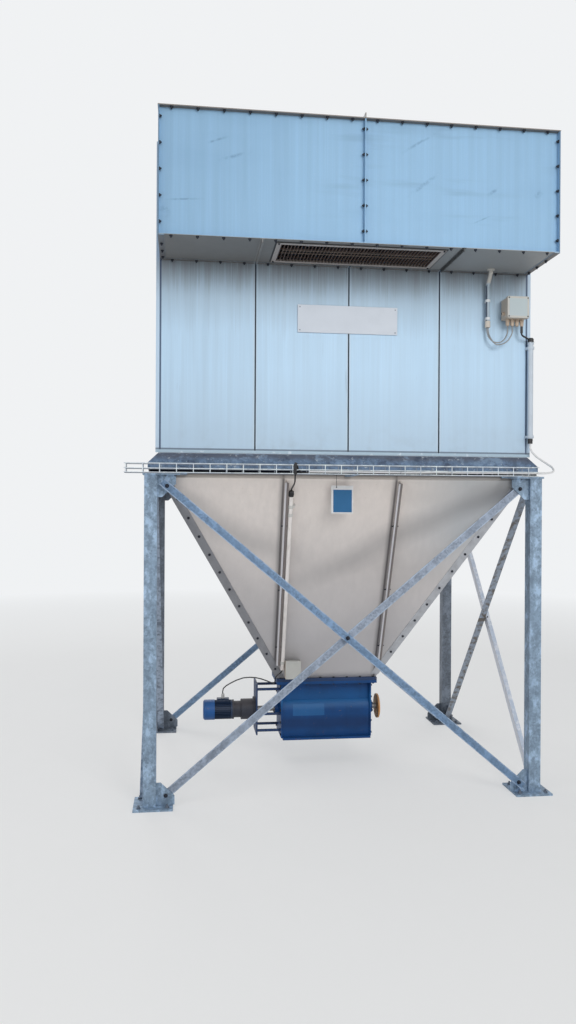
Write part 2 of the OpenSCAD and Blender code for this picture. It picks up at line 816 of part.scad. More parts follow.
module motor() {
  x = drive_x - drive_t - gear_l - 2 * fit;
  core = motor_d - 22;
  color(valve_blue) {
    bar_x([x - motor_l, 0, shaft_z], motor_l, core);
    bar_x([x - 12, 0, shaft_z], 12, motor_d);
    for (i = [0 : fins - 1])
      translate([x - motor_l, 0, shaft_z]) rotate([i * 360 / fins, 0, 0])
        translate([0, -1.5, core / 2 - 4]) cube([motor_l - 6, 3, (motor_d - core) / 2 + 4]);
    bar_x([x - motor_l - cowl_l + 10, 0, shaft_z], cowl_l - 10, cowl_d);
    translate([x - motor_l - cowl_l, 0, shaft_z]) rotate([0, 90, 0])
      cylinder(h = 10, d1 = cowl_d - 20, d2 = cowl_d);
    // Terminal box behind the housing.
    block([x - motor_l + 20, core / 2 - 6, shaft_z - 10], [x - 20, motor_d / 2 + 34, shaft_z + 66]);
    translate([x - motor_l / 2, motor_d / 2 + 12, shaft_z + 66]) cylinder(h = 26, d = 20);
  }
}

// Cable tray

tray_len = tray_right - tray_left;
tray_count = floor((tray_len - 20) / tray_pitch);
tray_mid = tray_h * 0.45;

module wire_x(y, z) {
  bar_x([tray_left, y, z], tray_len, wire_d, $fn = 8);
}

module tray_floor() {
  color(galvanised) {
    for (i = [0 : 2])
      wire_x(tray_y + tray_w * (0.2 + 0.3 * i), tray_z);
    for (i = [0 : tray_count])
      translate([tray_left + 10 + i * tray_pitch, tray_y + wire_d / 2 + fit, tray_z])
        rotate([-90, 0, 0]) cylinder(h = tray_w - wire_d - 2 * fit, d = wire_d, $fn = 8);
  }
}

module tray_sides() {
  color(galvanised) for (y = [tray_y, tray_y + tray_w]) {
    for (z = [0, tray_mid, tray_h])
      wire_x(y, tray_z + z);
    for (i = [0 : tray_count])
      translate([tray_left + 10 + i * tray_pitch, y, tray_z]) cylinder(h = tray_h, d = wire_d, $fn = 8);
  }
}

module tray_brackets() {
  low = tray_z - wire_d / 2 - fit;
  last = leg_in_x - cap_in - 24;
  step = 2 * last / (brackets - 1);
  color(galvanised) for (i = [0 : brackets - 1]) translate([i * step - last, 0, 0]) {
    block([-20, tray_y - 5, low - 3], [20, 20 - beam_y, low]);
    block([-20, 2 - beam_y, low - 3], [20, 20 - beam_y, beam_z - fit]);
  }
}

// Fittings

gland_l = 24;
gland_y = -wall_y - 58;

function gland_x(i) = box_x + (i - 1.5) * box_w * 0.213;

module junction_box() {
  y1 = -wall_y - 8;
  y0 = y1 - box_d;
  lid = 26;
  color(box_beige) {
    block([box_x - box_w / 2 + 3, y0 + lid, box_z + 3], [box_x + box_w / 2 - 3, y1, box_z + box_h - 3]);
    block([box_x - box_w / 2, y0, box_z], [box_x + box_w / 2, y0 + lid, box_z + box_h]);
    for (x = [-box_w / 3, box_w / 3])
      block([box_x + x - 12, y1, box_z + 20], [box_x + x + 12, -wall_y - fit, box_z + box_h - 20]);
    for (i = [0 : 3])
      translate([gland_x(i), gland_y, box_z - gland_l]) cylinder(h = gland_l + 6, d = 22);
  }
}

corner_pipe_x = wall_x + corner_flange / 2;
corner_pipe_y = -wall_y - corner_pipe_d;

module corner_conduit() {
  x = corner_pipe_x;
  y = corner_pipe_y;
  clamp = 16;
  top = corner_pipe_z + corner_pipe_l;
  color(cable_grey) {
    translate([x, y, corner_pipe_z]) cylinder(h = corner_pipe_l, d = corner_pipe_d);
    translate([x, y, top - 14]) cylinder(h = 14, d = corner_pipe_d + 6);
    for (z = [corner_pipe_z + 5, top - 14 - 2 * clamp]) {
      translate([x, y, z]) cylinder(h = clamp, d = corner_pipe_d + 12);
      block([x - 22, y, z], [x + 10, -wall_y - fit, z + clamp]);
    }
  }
}

soffit_pipe_y = -wall_y - 36;
soffit_flange_y = -wall_y - 90;

// A pipe that comes out of the soffit, swings back to the wall and runs down it.
module soffit_conduit() {
  shift = soffit_pipe_y - soffit_flange_y;
  top = soffit_z - 22;
  bend = top - 1.3 * shift;
  color(cable_grey) translate([soffit_pipe_x, 0, 0]) {
    translate([0, soffit_pipe_y, soffit_pipe_z]) cylinder(h = bend - soffit_pipe_z, d = pipe_d);
    translate([0, soffit_pipe_y, soffit_pipe_z]) cylinder(h = 40, d = pipe_d + 10);
    translate([0, soffit_pipe_y, bend]) sphere(d = pipe_d + 4);
    translate([0, soffit_pipe_y, bend]) rotate([atan2(shift, top - bend), 0, 0])
      cylinder(h = norm([shift, top - bend]), d = pipe_d);
    translate([0, soffit_flange_y, top]) sphere(d = pipe_d + 4);
    translate([0, soffit_flange_y, top]) cylinder(h = soffit_z - fit - top, d = pipe_d);
    translate([0, soffit_flange_y, soffit_z - 6]) cylinder(h = 6 - fit, d = 2 * pipe_d);
    for (z = [soffit_pipe_z + 50, soffit_pipe_z + 166]) {
      translate([0, soffit_pipe_y, z]) cylinder(h = 14, d = pipe_d + 8);
      block([-8, soffit_pipe_y, z], [8, -wall_y - fit, z + 14]);
    }
  }
}

conduit_x = -outlet_w / 2 + conduit_side;
conduit_out = 34;
conduit_foot = slope_len_y - conduit_low;
conduit_l = conduit_foot - conduit_head;
lean_y = atan2(run_y, slope_h);

// A point beside the conduit, which leans with the seams, from its distance off the front slope
// and down from the slope's top.
function on_slope(x, off, down) =
  let (up = conduit_foot - down, fall = conduit_foot - up * cos(seam_lean))
  [x - up * sin(seam_lean),
   -hopper_y - off * cos(lean_y) + fall * sin(lean_y),
   slope_top - off * sin(lean_y) - fall * cos(lean_y)];

module hopper_conduit() {
  clip = 14;
  color(cable_grey) translate([conduit_x, -hopper_y, slope_top]) rotate([lean_y, 0, 0])
    translate([0, 0, -conduit_foot]) rotate([0, -seam_lean, 0]) {
      translate([0, -conduit_out, 0]) cylinder(h = conduit_l, d = pipe_d);
      translate([0, -conduit_out, conduit_l - 34]) cylinder(h = 34, d = pipe_d + 4);
      for (z = [60, conduit_l - 150]) {
        translate([0, -conduit_out, z]) cylinder(h = clip, d = pipe_d + 2);
        block([-10, -conduit_out, z], [pipe_d / 2 + 2, -fit, z + clip]);
      }
    }
}

// Where the hopper's cable comes over the tray's side.
drop_x = on_slope(conduit_x, 0, conduit_head)[0] - 12;

// How far the front slope stands out at a height.
function slope_y(z) = outlet_d / 2 + run_y * (z - slope_low) / slope_h;

switch_x = conduit_x + pipe_d / 2 + 5;
switch_z = slope_low + switch_up;

module switch_box() {
  top = switch_z + switch_h;
  back = -slope_y(top) - 8;
  foot = switch_z + 15;
  head = top - 15;
  color(box_beige) {
    block([switch_x, back - switch_d, switch_z], [switch_x + switch_w, back, top]);
    // Two cheeks hold the box off the slope.
    for (x = [switch_x + 18, switch_x + switch_w - 12])
      translate([x, 0, 0]) rotate([90, 0, 90]) linear_extrude(4)
        polygon([[back - eps, foot], [-slope_y(foot) - fit, foot], [-slope_y(head) - fit, head],
                 [back - eps, head]]);
  }
}

// Cables

function unit(v) = v / norm(v);

function tangent(p, i) = unit(p[min(i + 1, len(p) - 1)] - p[max(i - 1, 0)]);

function flattened(n, t) = unit(n - (n * t) * t);

// A side direction for each point, carried along the route without twist.
function side_dirs(p, i, last) =
  i >= len(p) ? [] :
  let (now = flattened(last, tangent(p, i)))
  concat([now], side_dirs(p, i + 1, now));

function curve_point(a, b, c, d, t) =
  0.5 * (2 * b + (c - a) * t + (2 * a - 5 * b + 4 * c - d) * t * t + (3 * b - a - 3 * c + d) * t * t * t);

function smooth(p, steps) = concat(
  [for (i = [0 : len(p) - 2], s = [0 : steps - 1])
    curve_point(p[max(i - 1, 0)], p[i], p[i + 1], p[min(i + 2, len(p) - 1)], s / steps)],
  [p[len(p) - 1]]);

// A round cable along a smooth route.
module cable(route, d, steps = 2, sides = 8) {
  p = smooth(route, steps);
  t0 = tangent(p, 0);
  first = abs(t0[2]) < 0.9 ? [0, 0, 1] : [1, 0, 0];
  dirs = side_dirs(p, 0, flattened(first, t0));
  rings = [for (i = [0 : len(p) - 1])
    let (u = dirs[i], v = cross(tangent(p, i), u))
    for (k = [0 : sides - 1]) p[i] + d / 2 * (cos(360 * k / sides) * u + sin(360 * k / sides) * v)];
  n = len(p);
  walls = [for (i = [0 : n - 2], k = [0 : sides - 1])
    let (a = i * sides + k, b = i * sides + (k + 1) % sides)
    each [[a, a + sides, b], [b, a + sides, b + sides]]];
  start = [for (k = [0 : sides - 1]) k];
  end = [for (k = [sides - 1 : -1 : 0]) (n - 1) * sides + k];
  polyhedron(points = rings, faces = concat([start, end], walls));
}

// Two thin cables leave the pipe below the soffit and loop up into the box.
module box_hose() {
  x = soffit_pipe_x;
  y = soffit_pipe_y;
  z = soffit_pipe_z - fit;
  for (i = [0, 1]) {
    side = 9 * i - 4.5;
    sag = 12 * i;
    color(cable_grey)
      cable([[x + side, y, z], [x + side + 1, y - 2, z - 30], [x + side + 9, y - 12, z - 66],
             [x + 38 + side, y - 24, z - 98 - sag], [x + 76 + 10 * i, y - 28, z - 100 - sag],
             [x + 108 + 22 * i, y - 24, z - 74 - sag], [gland_x(i), gland_y, box_z - gland_l - 26],
             [gland_x(i), gland_y, box_z - gland_l - fit]], hose_d, 3);
  }
}

module corner_cable() {
  top = corner_pipe_z + corner_pipe_l + fit;
  color(cable_black) cable([[gland_x(3), gland_y, box_z - gland_l - fit],
                            [gland_x(3) + 2, gland_y, box_z - 60],
                            [corner_pipe_x - 40, corner_pipe_y - 12, top + 28],
                            [corner_pipe_x - 6, corner_pipe_y - 2, top + 14],
                            [corner_pipe_x, corner_pipe_y, top]], 12);
}

// Leaves the corner conduit, comes round the tray's end and is tied to the front of its middle wire.
module tray_cable() {
  y = tray_y - wire_d / 2 - 6.3;
  z = tray_z + tray_mid;
  low = tray_z + wire_d / 2 + 6.3;
  x = corner_pipe_x;
  color(cable_grey) cable([[x, corner_pipe_y, corner_pipe_z - fit],
                           [x + 2, corner_pipe_y - 2, corner_pipe_z - 40],
                           [x + 20, corner_pipe_y - 18, z + 126], [x + 66, corner_pipe_y - 51, z + 74],
                           [x + 96, y + 50, z + 32], [x + 86, y - 14, z + 6], [x + 38, y - 2, z + 2],
                           [x - 32, y, z],
                           [900, y, z], [640, y, z], [590, y + 1, z + 6], [560, tray_y, z + 15],
                           [530, tray_y + 18, z + 6], [470, tray_y + 40, low], [100, tray_y + 46, low],
                           [drop_x + 90, tray_y + 46, low]], 12);
}

// Goes on along the tray's floor, climbs over its front side and drops to the hopper's conduit.
module hopper_cable() {
  low = tray_z + wire_d / 2 + 5.3;
  top = tray_z + tray_h + wire_d / 2 + 5.5;
  x = drop_x;
  y = tray_y;
  color(cable_black) cable([[x + 90 - fit, y + 46, low], [x + 52, y + 42, low + 1],
                            [x + 22, y + 22, low + 22], [x + 10, y + 4, top], [x + 4, y - 12, top - 16],
                            [x, y - 15, tray_z + 10], [x, y + 5, tray_z - 50],
                            [x + 4, y + 110, tray_z - 72], [x + 9, y + 210, tray_z - 84],
                            on_slope(conduit_x, conduit_out, conduit_head - 34),
                            on_slope(conduit_x, conduit_out, conduit_head - fit)], 10);
}

// Passes outside the flange and over the drive plate to the motor's terminal box.
module motor_cable() {
  x = drive_x - drive_t - gear_l - 2 * fit - motor_l / 2;
  y = motor_d / 2 + 12;
  z = shaft_z + 92 + fit;
  color(cable_black) cable([on_slope(conduit_x, conduit_out, conduit_foot + fit),
                            on_slope(conduit_x - 3, conduit_out + 2, conduit_foot + 24),
                            [-372, -235, 667], [-386, -222, 645], [-388, -196, 610], [-392, -150, 588],
                            [-440, -60, 592], [-510, 0, 602], [-600, 50, 592], [-690, 80, 550],
                            [x + 4, y, 510], [x, y, z]], 9);
}

front_left_leg();
front_right_leg();
rear_left_leg();
rear_right_leg();
braces_outer();
braces_inner();
ring_beam();
skirt();
wall_front();
wall_rear();
wall_left();
wall_right();
roof();
head_front();
head_left();
head_right();
soffit();
grille_frame();
vent_grille();
hopper_front();
hopper_rear();
hopper_left();
hopper_right();
hopper_corners();
hopper_flange();
valve_body();
valve_end_left();
valve_end_right();
rotor();
shaft_disc();
drive_bracket();
gearbox();
motor();
tray_floor();
tray_sides();
tray_brackets();
junction_box();
corner_conduit();
soffit_conduit();
hopper_conduit();
switch_box();
box_hose();
corner_cable();
tray_cable();
hopper_cable();
motor_cable();
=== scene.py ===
"""Looks of the dust filter unit: finishes, fasteners, plates and the photograph's view."""

from math import cos, pi, radians, sin

import bmesh
import bpy
from mathutils import Matrix, Vector


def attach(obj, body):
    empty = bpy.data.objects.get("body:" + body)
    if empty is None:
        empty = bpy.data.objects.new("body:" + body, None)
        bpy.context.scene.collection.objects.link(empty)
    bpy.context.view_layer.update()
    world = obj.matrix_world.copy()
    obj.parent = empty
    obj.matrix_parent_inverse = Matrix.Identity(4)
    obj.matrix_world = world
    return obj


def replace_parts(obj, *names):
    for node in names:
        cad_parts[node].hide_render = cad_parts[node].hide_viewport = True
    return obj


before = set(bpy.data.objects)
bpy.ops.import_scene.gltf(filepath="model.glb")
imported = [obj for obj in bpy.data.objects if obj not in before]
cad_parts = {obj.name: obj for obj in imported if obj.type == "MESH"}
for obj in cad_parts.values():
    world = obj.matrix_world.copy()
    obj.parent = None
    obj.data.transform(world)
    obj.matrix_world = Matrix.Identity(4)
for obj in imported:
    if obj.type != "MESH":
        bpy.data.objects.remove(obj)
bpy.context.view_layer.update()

# Sizes that the solids give, in metres: half widths in X and Y, and heights in Z.
WALL_X, WALL_Y = 1.2, 0.9
HEAD_Y = 1.345  # the head box's front sheet
RIM_Y = 1.375  # the front edge of its flanges
SOFFIT = 3.415
ROOF = 4.15
JOINTS = (-0.60125, 0.0, 0.60125)  # gaps between the wall's panels
GRILLE_Y = 1.14  # the grille's middle, in front of the unit's
BOX_X, BOX_LOW, BOX_TOP = 1.09, 3.101, 3.2415  # the electrical box's middle, foot and top

HOPPER_X, HOPPER_Y = 1.195, 0.895
OUTLET_X, OUTLET_Y = 0.37, 0.15
SLOPE_TOP, SLOPE_LOW = 2.055, 0.625
FRONT_LEAN = 0.521  # run of the hopper's front for each metre of height
SEAM_LEAN = radians(1)
SEAM_RUN = 0.01968  # the same lean, for each metre of height
SHAFT_Z = 0.372

# Braces: half length and distance from the middle, first for front and rear, then for the sides.
BRACE_HALF = (1.15, 0.806)
BRACE_PLANE = (0.918, 1.262)
BRACE_LOW, BRACE_TOP, BRACE_MIDDLE = 0.07, 2.0, 1.035

# Zinc seen in open shade, which takes up the sky's blue.
SKY_ZINC = (0.475, 0.655, 0.83)
SIDE_ZINC = (0.455, 0.625, 0.79)
HEAD_ZINC = (0.265, 0.455, 0.655)


# Finishes


class Value:
    """A socket on which arithmetic adds Math nodes."""

    def __init__(self, finish, socket):
        self.finish = finish
        self.socket = socket

    def maths(self, operation, *values):
        return self.finish.node("ShaderNodeMath", {"operation": operation}, dict(enumerate(values)))

    def __add__(self, other):
        return self.maths("ADD", self, other)

    __radd__ = __add__

    def __sub__(self, other):
        return self.maths("SUBTRACT", self, other)

    def __rsub__(self, other):
        return self.maths("SUBTRACT", other, self)

    def __mul__(self, other):
        return self.maths("MULTIPLY", self, other)

    __rmul__ = __mul__

    def above(self, edge, soft):
        """0 up to the edge, 1 from edge + soft on."""
        inputs = {"Value": self, "From Min": edge, "From Max": edge + soft}
        return self.finish.node("ShaderNodeMapRange", {}, inputs)

    def below(self, edge, soft):
        """1 up to edge - soft, 0 from the edge on."""
        return 1 - self.above(edge - soft, soft)

    def size(self):
        return self.maths("ABSOLUTE", self)

    def near(self, middle, half, soft):
        """1 within half of the middle, 0 from half + soft on."""
        return (self - middle).size().below(half + soft, soft)


class Finish:
    """A material with one Principled shader, whose pattern is read from Object coordinates."""

    def __init__(self, name, **constants):
        self.material = bpy.data.materials.new(name)
        self.material.use_nodes = True
        self.tree = self.material.node_tree
        self.shader = self.tree.nodes["Principled BSDF"]
        for socket, value in constants.items():
            self.shader.inputs[socket.replace("_", " ").title()].default_value = value
        self.place = self.node("ShaderNodeTexCoord", {}, {}, "Object")
        axes = self.tree.nodes.new("ShaderNodeSeparateXYZ")
        self.tree.links.new(self.place.socket, axes.inputs[0])
        self.x, self.y, self.z = (Value(self, axes.outputs[i]) for i in range(3))

    def node(self, kind, settings, inputs, output=0):
        made = self.tree.nodes.new(kind)
        for name, value in settings.items():
            setattr(made, name, value)
        for name, value in inputs.items():
            if isinstance(value, Value):
                self.tree.links.new(value.socket, made.inputs[name])
            else:
                made.inputs[name].default_value = value
        return Value(self, made.outputs[output])

    def stretched(self, x, y, z, turn=0.0):
        """Object coordinates with each axis multiplied, turned about Y by some degrees."""
        inputs = {"Vector": self.place, "Rotation": (0, radians(turn), 0), "Scale": (x, y, z)}
        return self.node("ShaderNodeMapping", {}, inputs)

    def noise(self, scale, detail=3.0, at=None, roughness=0.55):
        inputs = {"Vector": at or self.place, "Scale": scale, "Detail": detail, "Roughness": roughness}
        return self.node("ShaderNodeTexNoise", {}, inputs)

    def streaks(self, detail, x, y, z, turn=0.0):
        """Noise drawn out along the axes with the smaller numbers."""
        return self.noise(1.0, detail, self.stretched(x, y, z, turn))

    def cells(self, scale, output="Distance"):
        inputs = {"Vector": self.place, "Scale": scale}
        return self.node("ShaderNodeTexVoronoi", {}, inputs, output)

    def blend(self, factor, first, second):
        """Mixes two colours, each a link or three numbers."""
        made = self.tree.nodes.new("ShaderNodeMix")
        made.data_type = "RGBA"
        made.clamp_factor = True
        for name, value in (("Factor", factor), ("A", first), ("B", second)):
            socket = [s for s in made.inputs if s.name == name and s.enabled][0]
            if isinstance(value, Value):
                self.tree.links.new(value.socket, socket)
            elif name == "Factor":
                socket.default_value = value
            else:
                socket.default_value = (*value, 1)
        return Value(self, [s for s in made.outputs if s.enabled][0])

    def set(self, socket, value):
        self.tree.links.new(value.socket, self.shader.inputs[socket])

    def relief(self, height, strength, distance=0.001):
        inputs = {"Height": height, "Strength": strength, "Distance": distance}
        self.set("Normal", self.node("ShaderNodeBump", {}, inputs, "Normal"))

    def facing(self, axis):
        """How far the surface faces along X (0), Y (1) or Z (2)."""
        normal = self.node("ShaderNodeNewGeometry", {}, {}, "Normal")
        parts = self.tree.nodes.new("ShaderNodeSeparateXYZ")
        self.tree.links.new(normal.socket, parts.inputs[0])
        return Value(self, parts.outputs[axis])


def toned(colour, gain, lift=0.0):
    """A darker or lighter colour."""
    return tuple(min(1, c * gain + lift) for c in colour)


def washed(colour):
    """The paler tone of a sheet's streaks."""
    return toned(colour, 1.05, 0.008)


def galvanised(name, colour, spangle, grime=0.25, metal=0.35, bloom=0.0):
    """Hot-dip zinc: crystals of different greys, drips of grime and, if asked, white and dark bloom."""
    f = Finish(name, roughness=0.5, metallic=metal)
    crystal = f.cells(1 / spangle, output="Color")
    tone = f.node("ShaderNodeSeparateColor", {}, {"Color": crystal}, "Red")
    cloud = f.noise(2.3, 4)
    fine = f.noise(40, 3)
    drips = f.streaks(4, 22, 22, 1.3)
    light = toned(colour, 1.22, 0.02)
    base = f.blend(tone, toned(colour, 0.72), light)
    base = f.blend(cloud.above(0.42, 0.25) * 0.5, base, colour)
    base = f.blend(drips.above(0.5, 0.2) * grime, base, toned(colour, 0.55))
    base = f.blend(fine.above(0.62, 0.1) * 0.3, base, light)
    if bloom:
        patch = f.noise(17, 4, f.stretched(1, 1, 0.6), 0.65)
        base = f.blend(patch.above(0.52, 0.12) * bloom, base, toned(colour, 1.75, 0.03))
        base = f.blend(patch.below(0.46, 0.12) * bloom, base, toned(colour, 0.62))
    f.set("Base Color", base)
    f.set("Roughness", 0.38 + 0.2 * tone + 0.15 * cloud)
    f.relief(tone * 0.3 + fine, 0.12)
    return f


def wall_sheet(name, colour, underside_shade=(0.135, 0.12, 0.11), scuffs=False, marks=None, streaks=1.0):
    """Galvanised sheet: fine vertical streaks, pale wash marks, and brownish painted shade on what faces
    down.
    """
    f = Finish(name, roughness=0.45, metallic=0.2)
    hair = f.streaks(2, 170, 170, 1.3)
    streak = f.streaks(4, 24, 24, 0.5)
    cloud = f.noise(1.7, 4)
    speck = f.cells(90)
    base = f.blend(streak.above(0.35, 0.35), toned(colour, 1 - 0.09 * streaks), washed(colour))
    base = f.blend(hair.above(0.4, 0.25) * (0.3 * streaks), base, toned(colour, 0.88))
    base = f.blend(cloud.above(0.4, 0.3) * 0.4, base, colour)
    base = f.blend(speck.below(0.16, 0.06) * 0.14, base, (0.75, 0.8, 0.84))
    if scuffs:
        aslant = f.streaks(3, 1.5, 1, 13, turn=38)
        rub = aslant.above(0.56, 0.14) * f.noise(1.1, 2).above(0.46, 0.16)
        base = f.blend(rub * 0.55, base, toned(colour, 0.62))
        smear = f.streaks(2, 9, 1, 0.7).above(0.55, 0.2)
        base = f.blend(smear * 0.3, base, toned(colour, 0.78))
    # What faces down takes a brownish painted shade.
    down = (0 - f.facing(2)).above(0.5, 0.3)
    base = f.blend(down * 0.95, base, f.blend(cloud, underside_shade, toned(underside_shade, 1.3)))
    if marks:
        base = marks(f, base)
    f.set("Base Color", base)
    f.set("Roughness", 0.4 + 0.12 * streak + 0.12 * cloud)
    f.relief(hair + cloud * 0.6, 0.10)
    return f


def wall_marks(f, base):
    """Painted shade and grime with drips below the soffit, the panels' joints with painted highlights beside
    them, the turned edges, and the foot rail.
    """
    runs = f.streaks(5, 11, 11, 0.8)
    fine = f.streaks(4, 95, 95, 1.1)
    reach = f.z + (runs - 0.5) * 0.2 + (fine - 0.5) * 0.26
    base = f.blend(f.z.below(2.75, 0.45) * 0.6, base, (0.42, 0.54, 0.66))
    # Below the soffit: grey painted shade under the head box's overhang, and brown grime in runs higher up.
    base = f.blend(reach.above(2.98, 0.5) * 0.66, base, (0.17, 0.19, 0.2))
    base = f.blend(reach.above(3.24, 0.2) * 0.55, base, (0.15, 0.125, 0.11))
    drips = fine.above(0.56, 0.12) * f.z.above(3.0, 0.25)
    base = f.blend(drips * 0.3, base, washed(SKY_ZINC))
    aslant = f.streaks(2, 30, 1, 2.2, turn=-14)
    rub = aslant.above(0.68, 0.05) * f.noise(1.3, 2).above(0.52, 0.1)
    base = f.blend(rub * 0.5, base, (0.22, 0.3, 0.38))
    foot = f.noise(9, 4).above(0.5, 0.2) * f.z.below(2.42, 0.22)
    base = f.blend(foot * 0.35, base, (0.3, 0.36, 0.42))
    for joint in JOINTS:
        # Pale lips beside each joint are painted highlights.
        lip = f.x.near(joint, 0.011, 0.003) * (0.25 + 0.45 * f.z.below(3.2, 0.3))
        base = f.blend(lip, base, (0.5, 0.62, 0.72))
        base = f.blend(f.x.near(joint, 0.0042, 0.0015), base, (0.05, 0.075, 0.12))
    edge = f.x.size()
    base = f.blend(edge.above(WALL_X + 0.003, 0.003) * 0.7, base, (0.5, 0.62, 0.76))
    base = f.blend(edge.near(WALL_X - 0.0035, 0.0045, 0.002) * 0.9, base, (0.03, 0.055, 0.12))
    rail_top = 2.229
    base = f.blend(f.z.near(rail_top + 0.005, 0.004, 0.003) * 0.75, base, (0.08, 0.1, 0.14))
    rail = f.z.below(rail_top, 0.001)
    blobs = f.noise(22, 4).above(0.6, 0.05)
    return f.blend(rail, base, f.blend(blobs * 0.5, (0.38, 0.5, 0.6), (0.7, 0.77, 0.84)))


EDGE_BROWN = (0.205, 0.18, 0.16)  # brown along the top edge of the head box and the roof's front edge

# Scuffs of the head box's front: X and Z of the middle, tilt in degrees, half length and half width.
SCUFFS = [
    (-0.873, 3.977, 20, 0.086, 0.005), (-0.762, 3.893, 18, 0.11, 0.007), (0.341, 4.043, 32, 0.16, 0.006),
    (0.357, 3.787, 38, 0.13, 0.008), (0.789, 3.771, 33, 0.05, 0.007), (1.073, 3.771, 45, 0.035, 0.012),
    (-1.16, 3.555, 33, 0.034, 0.02), (-1.05, 3.63, 4, 0.12, 0.004), (0.72, 3.60, 25, 0.07, 0.003),
]


def head_marks(f, base):
    """Scuffs and haze on the front, a brown top edge and dark upright edges."""
    break_up = f.noise(28, 4, roughness=0.7).above(0.42, 0.18)
    front = f.y.below(-HEAD_Y + 0.005, 0.001)
    for x, z, angle, reach, half in SCUFFS:
        run, rise = f.x - x, f.z - z
        lean = radians(angle)
        lengthwise = run * cos(lean) + rise * sin(lean)
        crosswise = rise * cos(lean) - run * sin(lean)
        mark = lengthwise.near(0, reach * 0.2, reach * 0.8) * crosswise.near(0, half * 0.3, half * 1.6)
        base = f.blend(mark * break_up * front * 0.55, base, (0.09, 0.18, 0.31))
    haze = f.streaks(3, 1.6, 1, 4.5, turn=-24).above(0.5, 0.2)
    base = f.blend(haze * 0.22, base, (0.2, 0.36, 0.54))
    base = f.blend(f.z.above(ROOF - 0.0035, 0.001), base, EDGE_BROWN)
    rim = f.y.below(-RIM_Y + 0.003, 0.001)
    upright = f.x.size().above(WALL_X - 0.008, 0.001) * f.z.below(ROOF - 0.004, 0.001)
    return f.blend(rim * upright * 0.6, base, (0.06, 0.1, 0.17))


def hopper_marks(f, base):
    """Warm and pale near the top, cooler below and at the right, with shaded bands, seams and a collar in
    painted shade.
    """
    low = f.z.below(2.0, 1.05)
    base = f.blend(low * 0.72, base, (0.46, 0.465, 0.5))
    right = f.x.above(0.35, 0.45) * f.z.above(1.3, 0.4)
    base = f.blend(right * 0.7, base, (0.5, 0.545, 0.585))
    smudge = f.streaks(2, 0.7, 1, 3.2, turn=24).above(0.5, 0.22)
    base = f.blend(smudge * 0.25, base, (0.42, 0.4, 0.39))
    front = (0 - f.facing(1)).above(0.2, 0.2)
    # Broad bands of shade that fall from both upper corners.
    wave = (f.noise(1.1, 2) - 0.5) * 0.25
    for side, drop, height, start in ((1, 0.52, 1.47, -0.5), (-1, 0.42, 1.42, 0.1)):
        off = f.z - height - side * drop * f.x + wave
        reach = (side * f.x).above(start, 0.6)
        base = f.blend(off.near(0.0, 0.02, 0.11) * reach * front * 0.38, base, (0.27, 0.27, 0.28))
    spots = f.noise(34, 4, roughness=0.7).above(0.66, 0.05) * f.z.above(1.75, 0.2)
    base = f.blend(spots * 0.25, base, (0.45, 0.37, 0.26))
    # Seams: a pale lip, a brown one, painted shade on the web's left face, and soft painted shade with a dark
    # line at its left.
    off = f.y.size() - OUTLET_Y - FRONT_LEAN * (f.z - SLOPE_LOW)
    lips = off.above(0.03, 0.005)
    for side in (-1, 1):
        seam = f.x - side * OUTLET_X + SEAM_RUN * (f.z - SLOPE_LOW)
        flat = (1 - off.above(0.004, 0.002)) * front
        base = f.blend(seam.near(-0.024, 0.006, 0.022) * flat * 0.35, base, (0.13, 0.125, 0.13))
        # A dark line of painted shade just left of the lip.
        base = f.blend(seam.near(-0.0185, 0.005, 0.003) * flat * 0.6, base, (0.09, 0.08, 0.085))
        here = seam.near(0.0, 0.014, 0.001)
        lip = f.blend(seam.above(0.0, 0.0005), (0.66, 0.65, 0.68), (0.22, 0.195, 0.19))
        base = f.blend(lips * here, base, lip)
        web = here * off.above(0.004, 0.001) * (1 - lips)
        # The web's face turned to the left takes painted shade.
        dark = (0 - f.facing(0)).above(0.5, 0.2)
        base = f.blend(web * dark * 0.9, base, (0.075, 0.07, 0.08))
    # The top collar goes brown as painted shade below the ring beam.
    collar = f.z.above(SLOPE_TOP - 0.005, 0.008)
    return f.blend(collar * 0.7, base, (0.2, 0.18, 0.165))


def strip_marks(f, base):
    """Corner angles: painted light on those at the right, with cloudy wear."""
    cloud = f.noise(16, 4).above(0.45, 0.2)
    # The angles at the right take painted light.
    base = f.blend(f.x.above(0.0, 0.01) * 0.8, base, (0.6, 0.62, 0.66))
    return f.blend(cloud * 0.3, base, (0.24, 0.24, 0.26))


def side_marks(f, base):
    """Rain marks below the roof's edge, grime at the foot and wear on the edges."""
    runs = f.streaks(5, 9, 9, 0.7)
    fine = f.streaks(4, 50, 50, 0.9)
    reach = f.z + (runs - 0.5) * 0.9 + (fine - 0.5) * 0.3
    base = f.blend(reach.above(3.95, 0.25) * 0.4, base, (0.2, 0.26, 0.32))
    base = f.blend(f.z.below(2.75, 0.45) * 0.5, base, (0.4, 0.52, 0.64))
    wash = fine.above(0.57, 0.1) * runs.above(0.5, 0.1)
    base = f.blend(wash * 0.35, base, washed(SIDE_ZINC))
    foot = f.noise(9, 4).above(0.45, 0.2) * f.z.below(2.46, 0.25)
    base = f.blend(foot * 0.5, base, (0.27, 0.32, 0.37))
    edge = f.x.size().above(WALL_X - 0.01, 0.003) * f.y.size().above(WALL_Y - 0.015, 0.003)
    return f.blend(edge * 0.5, base, (0.24, 0.32, 0.42))


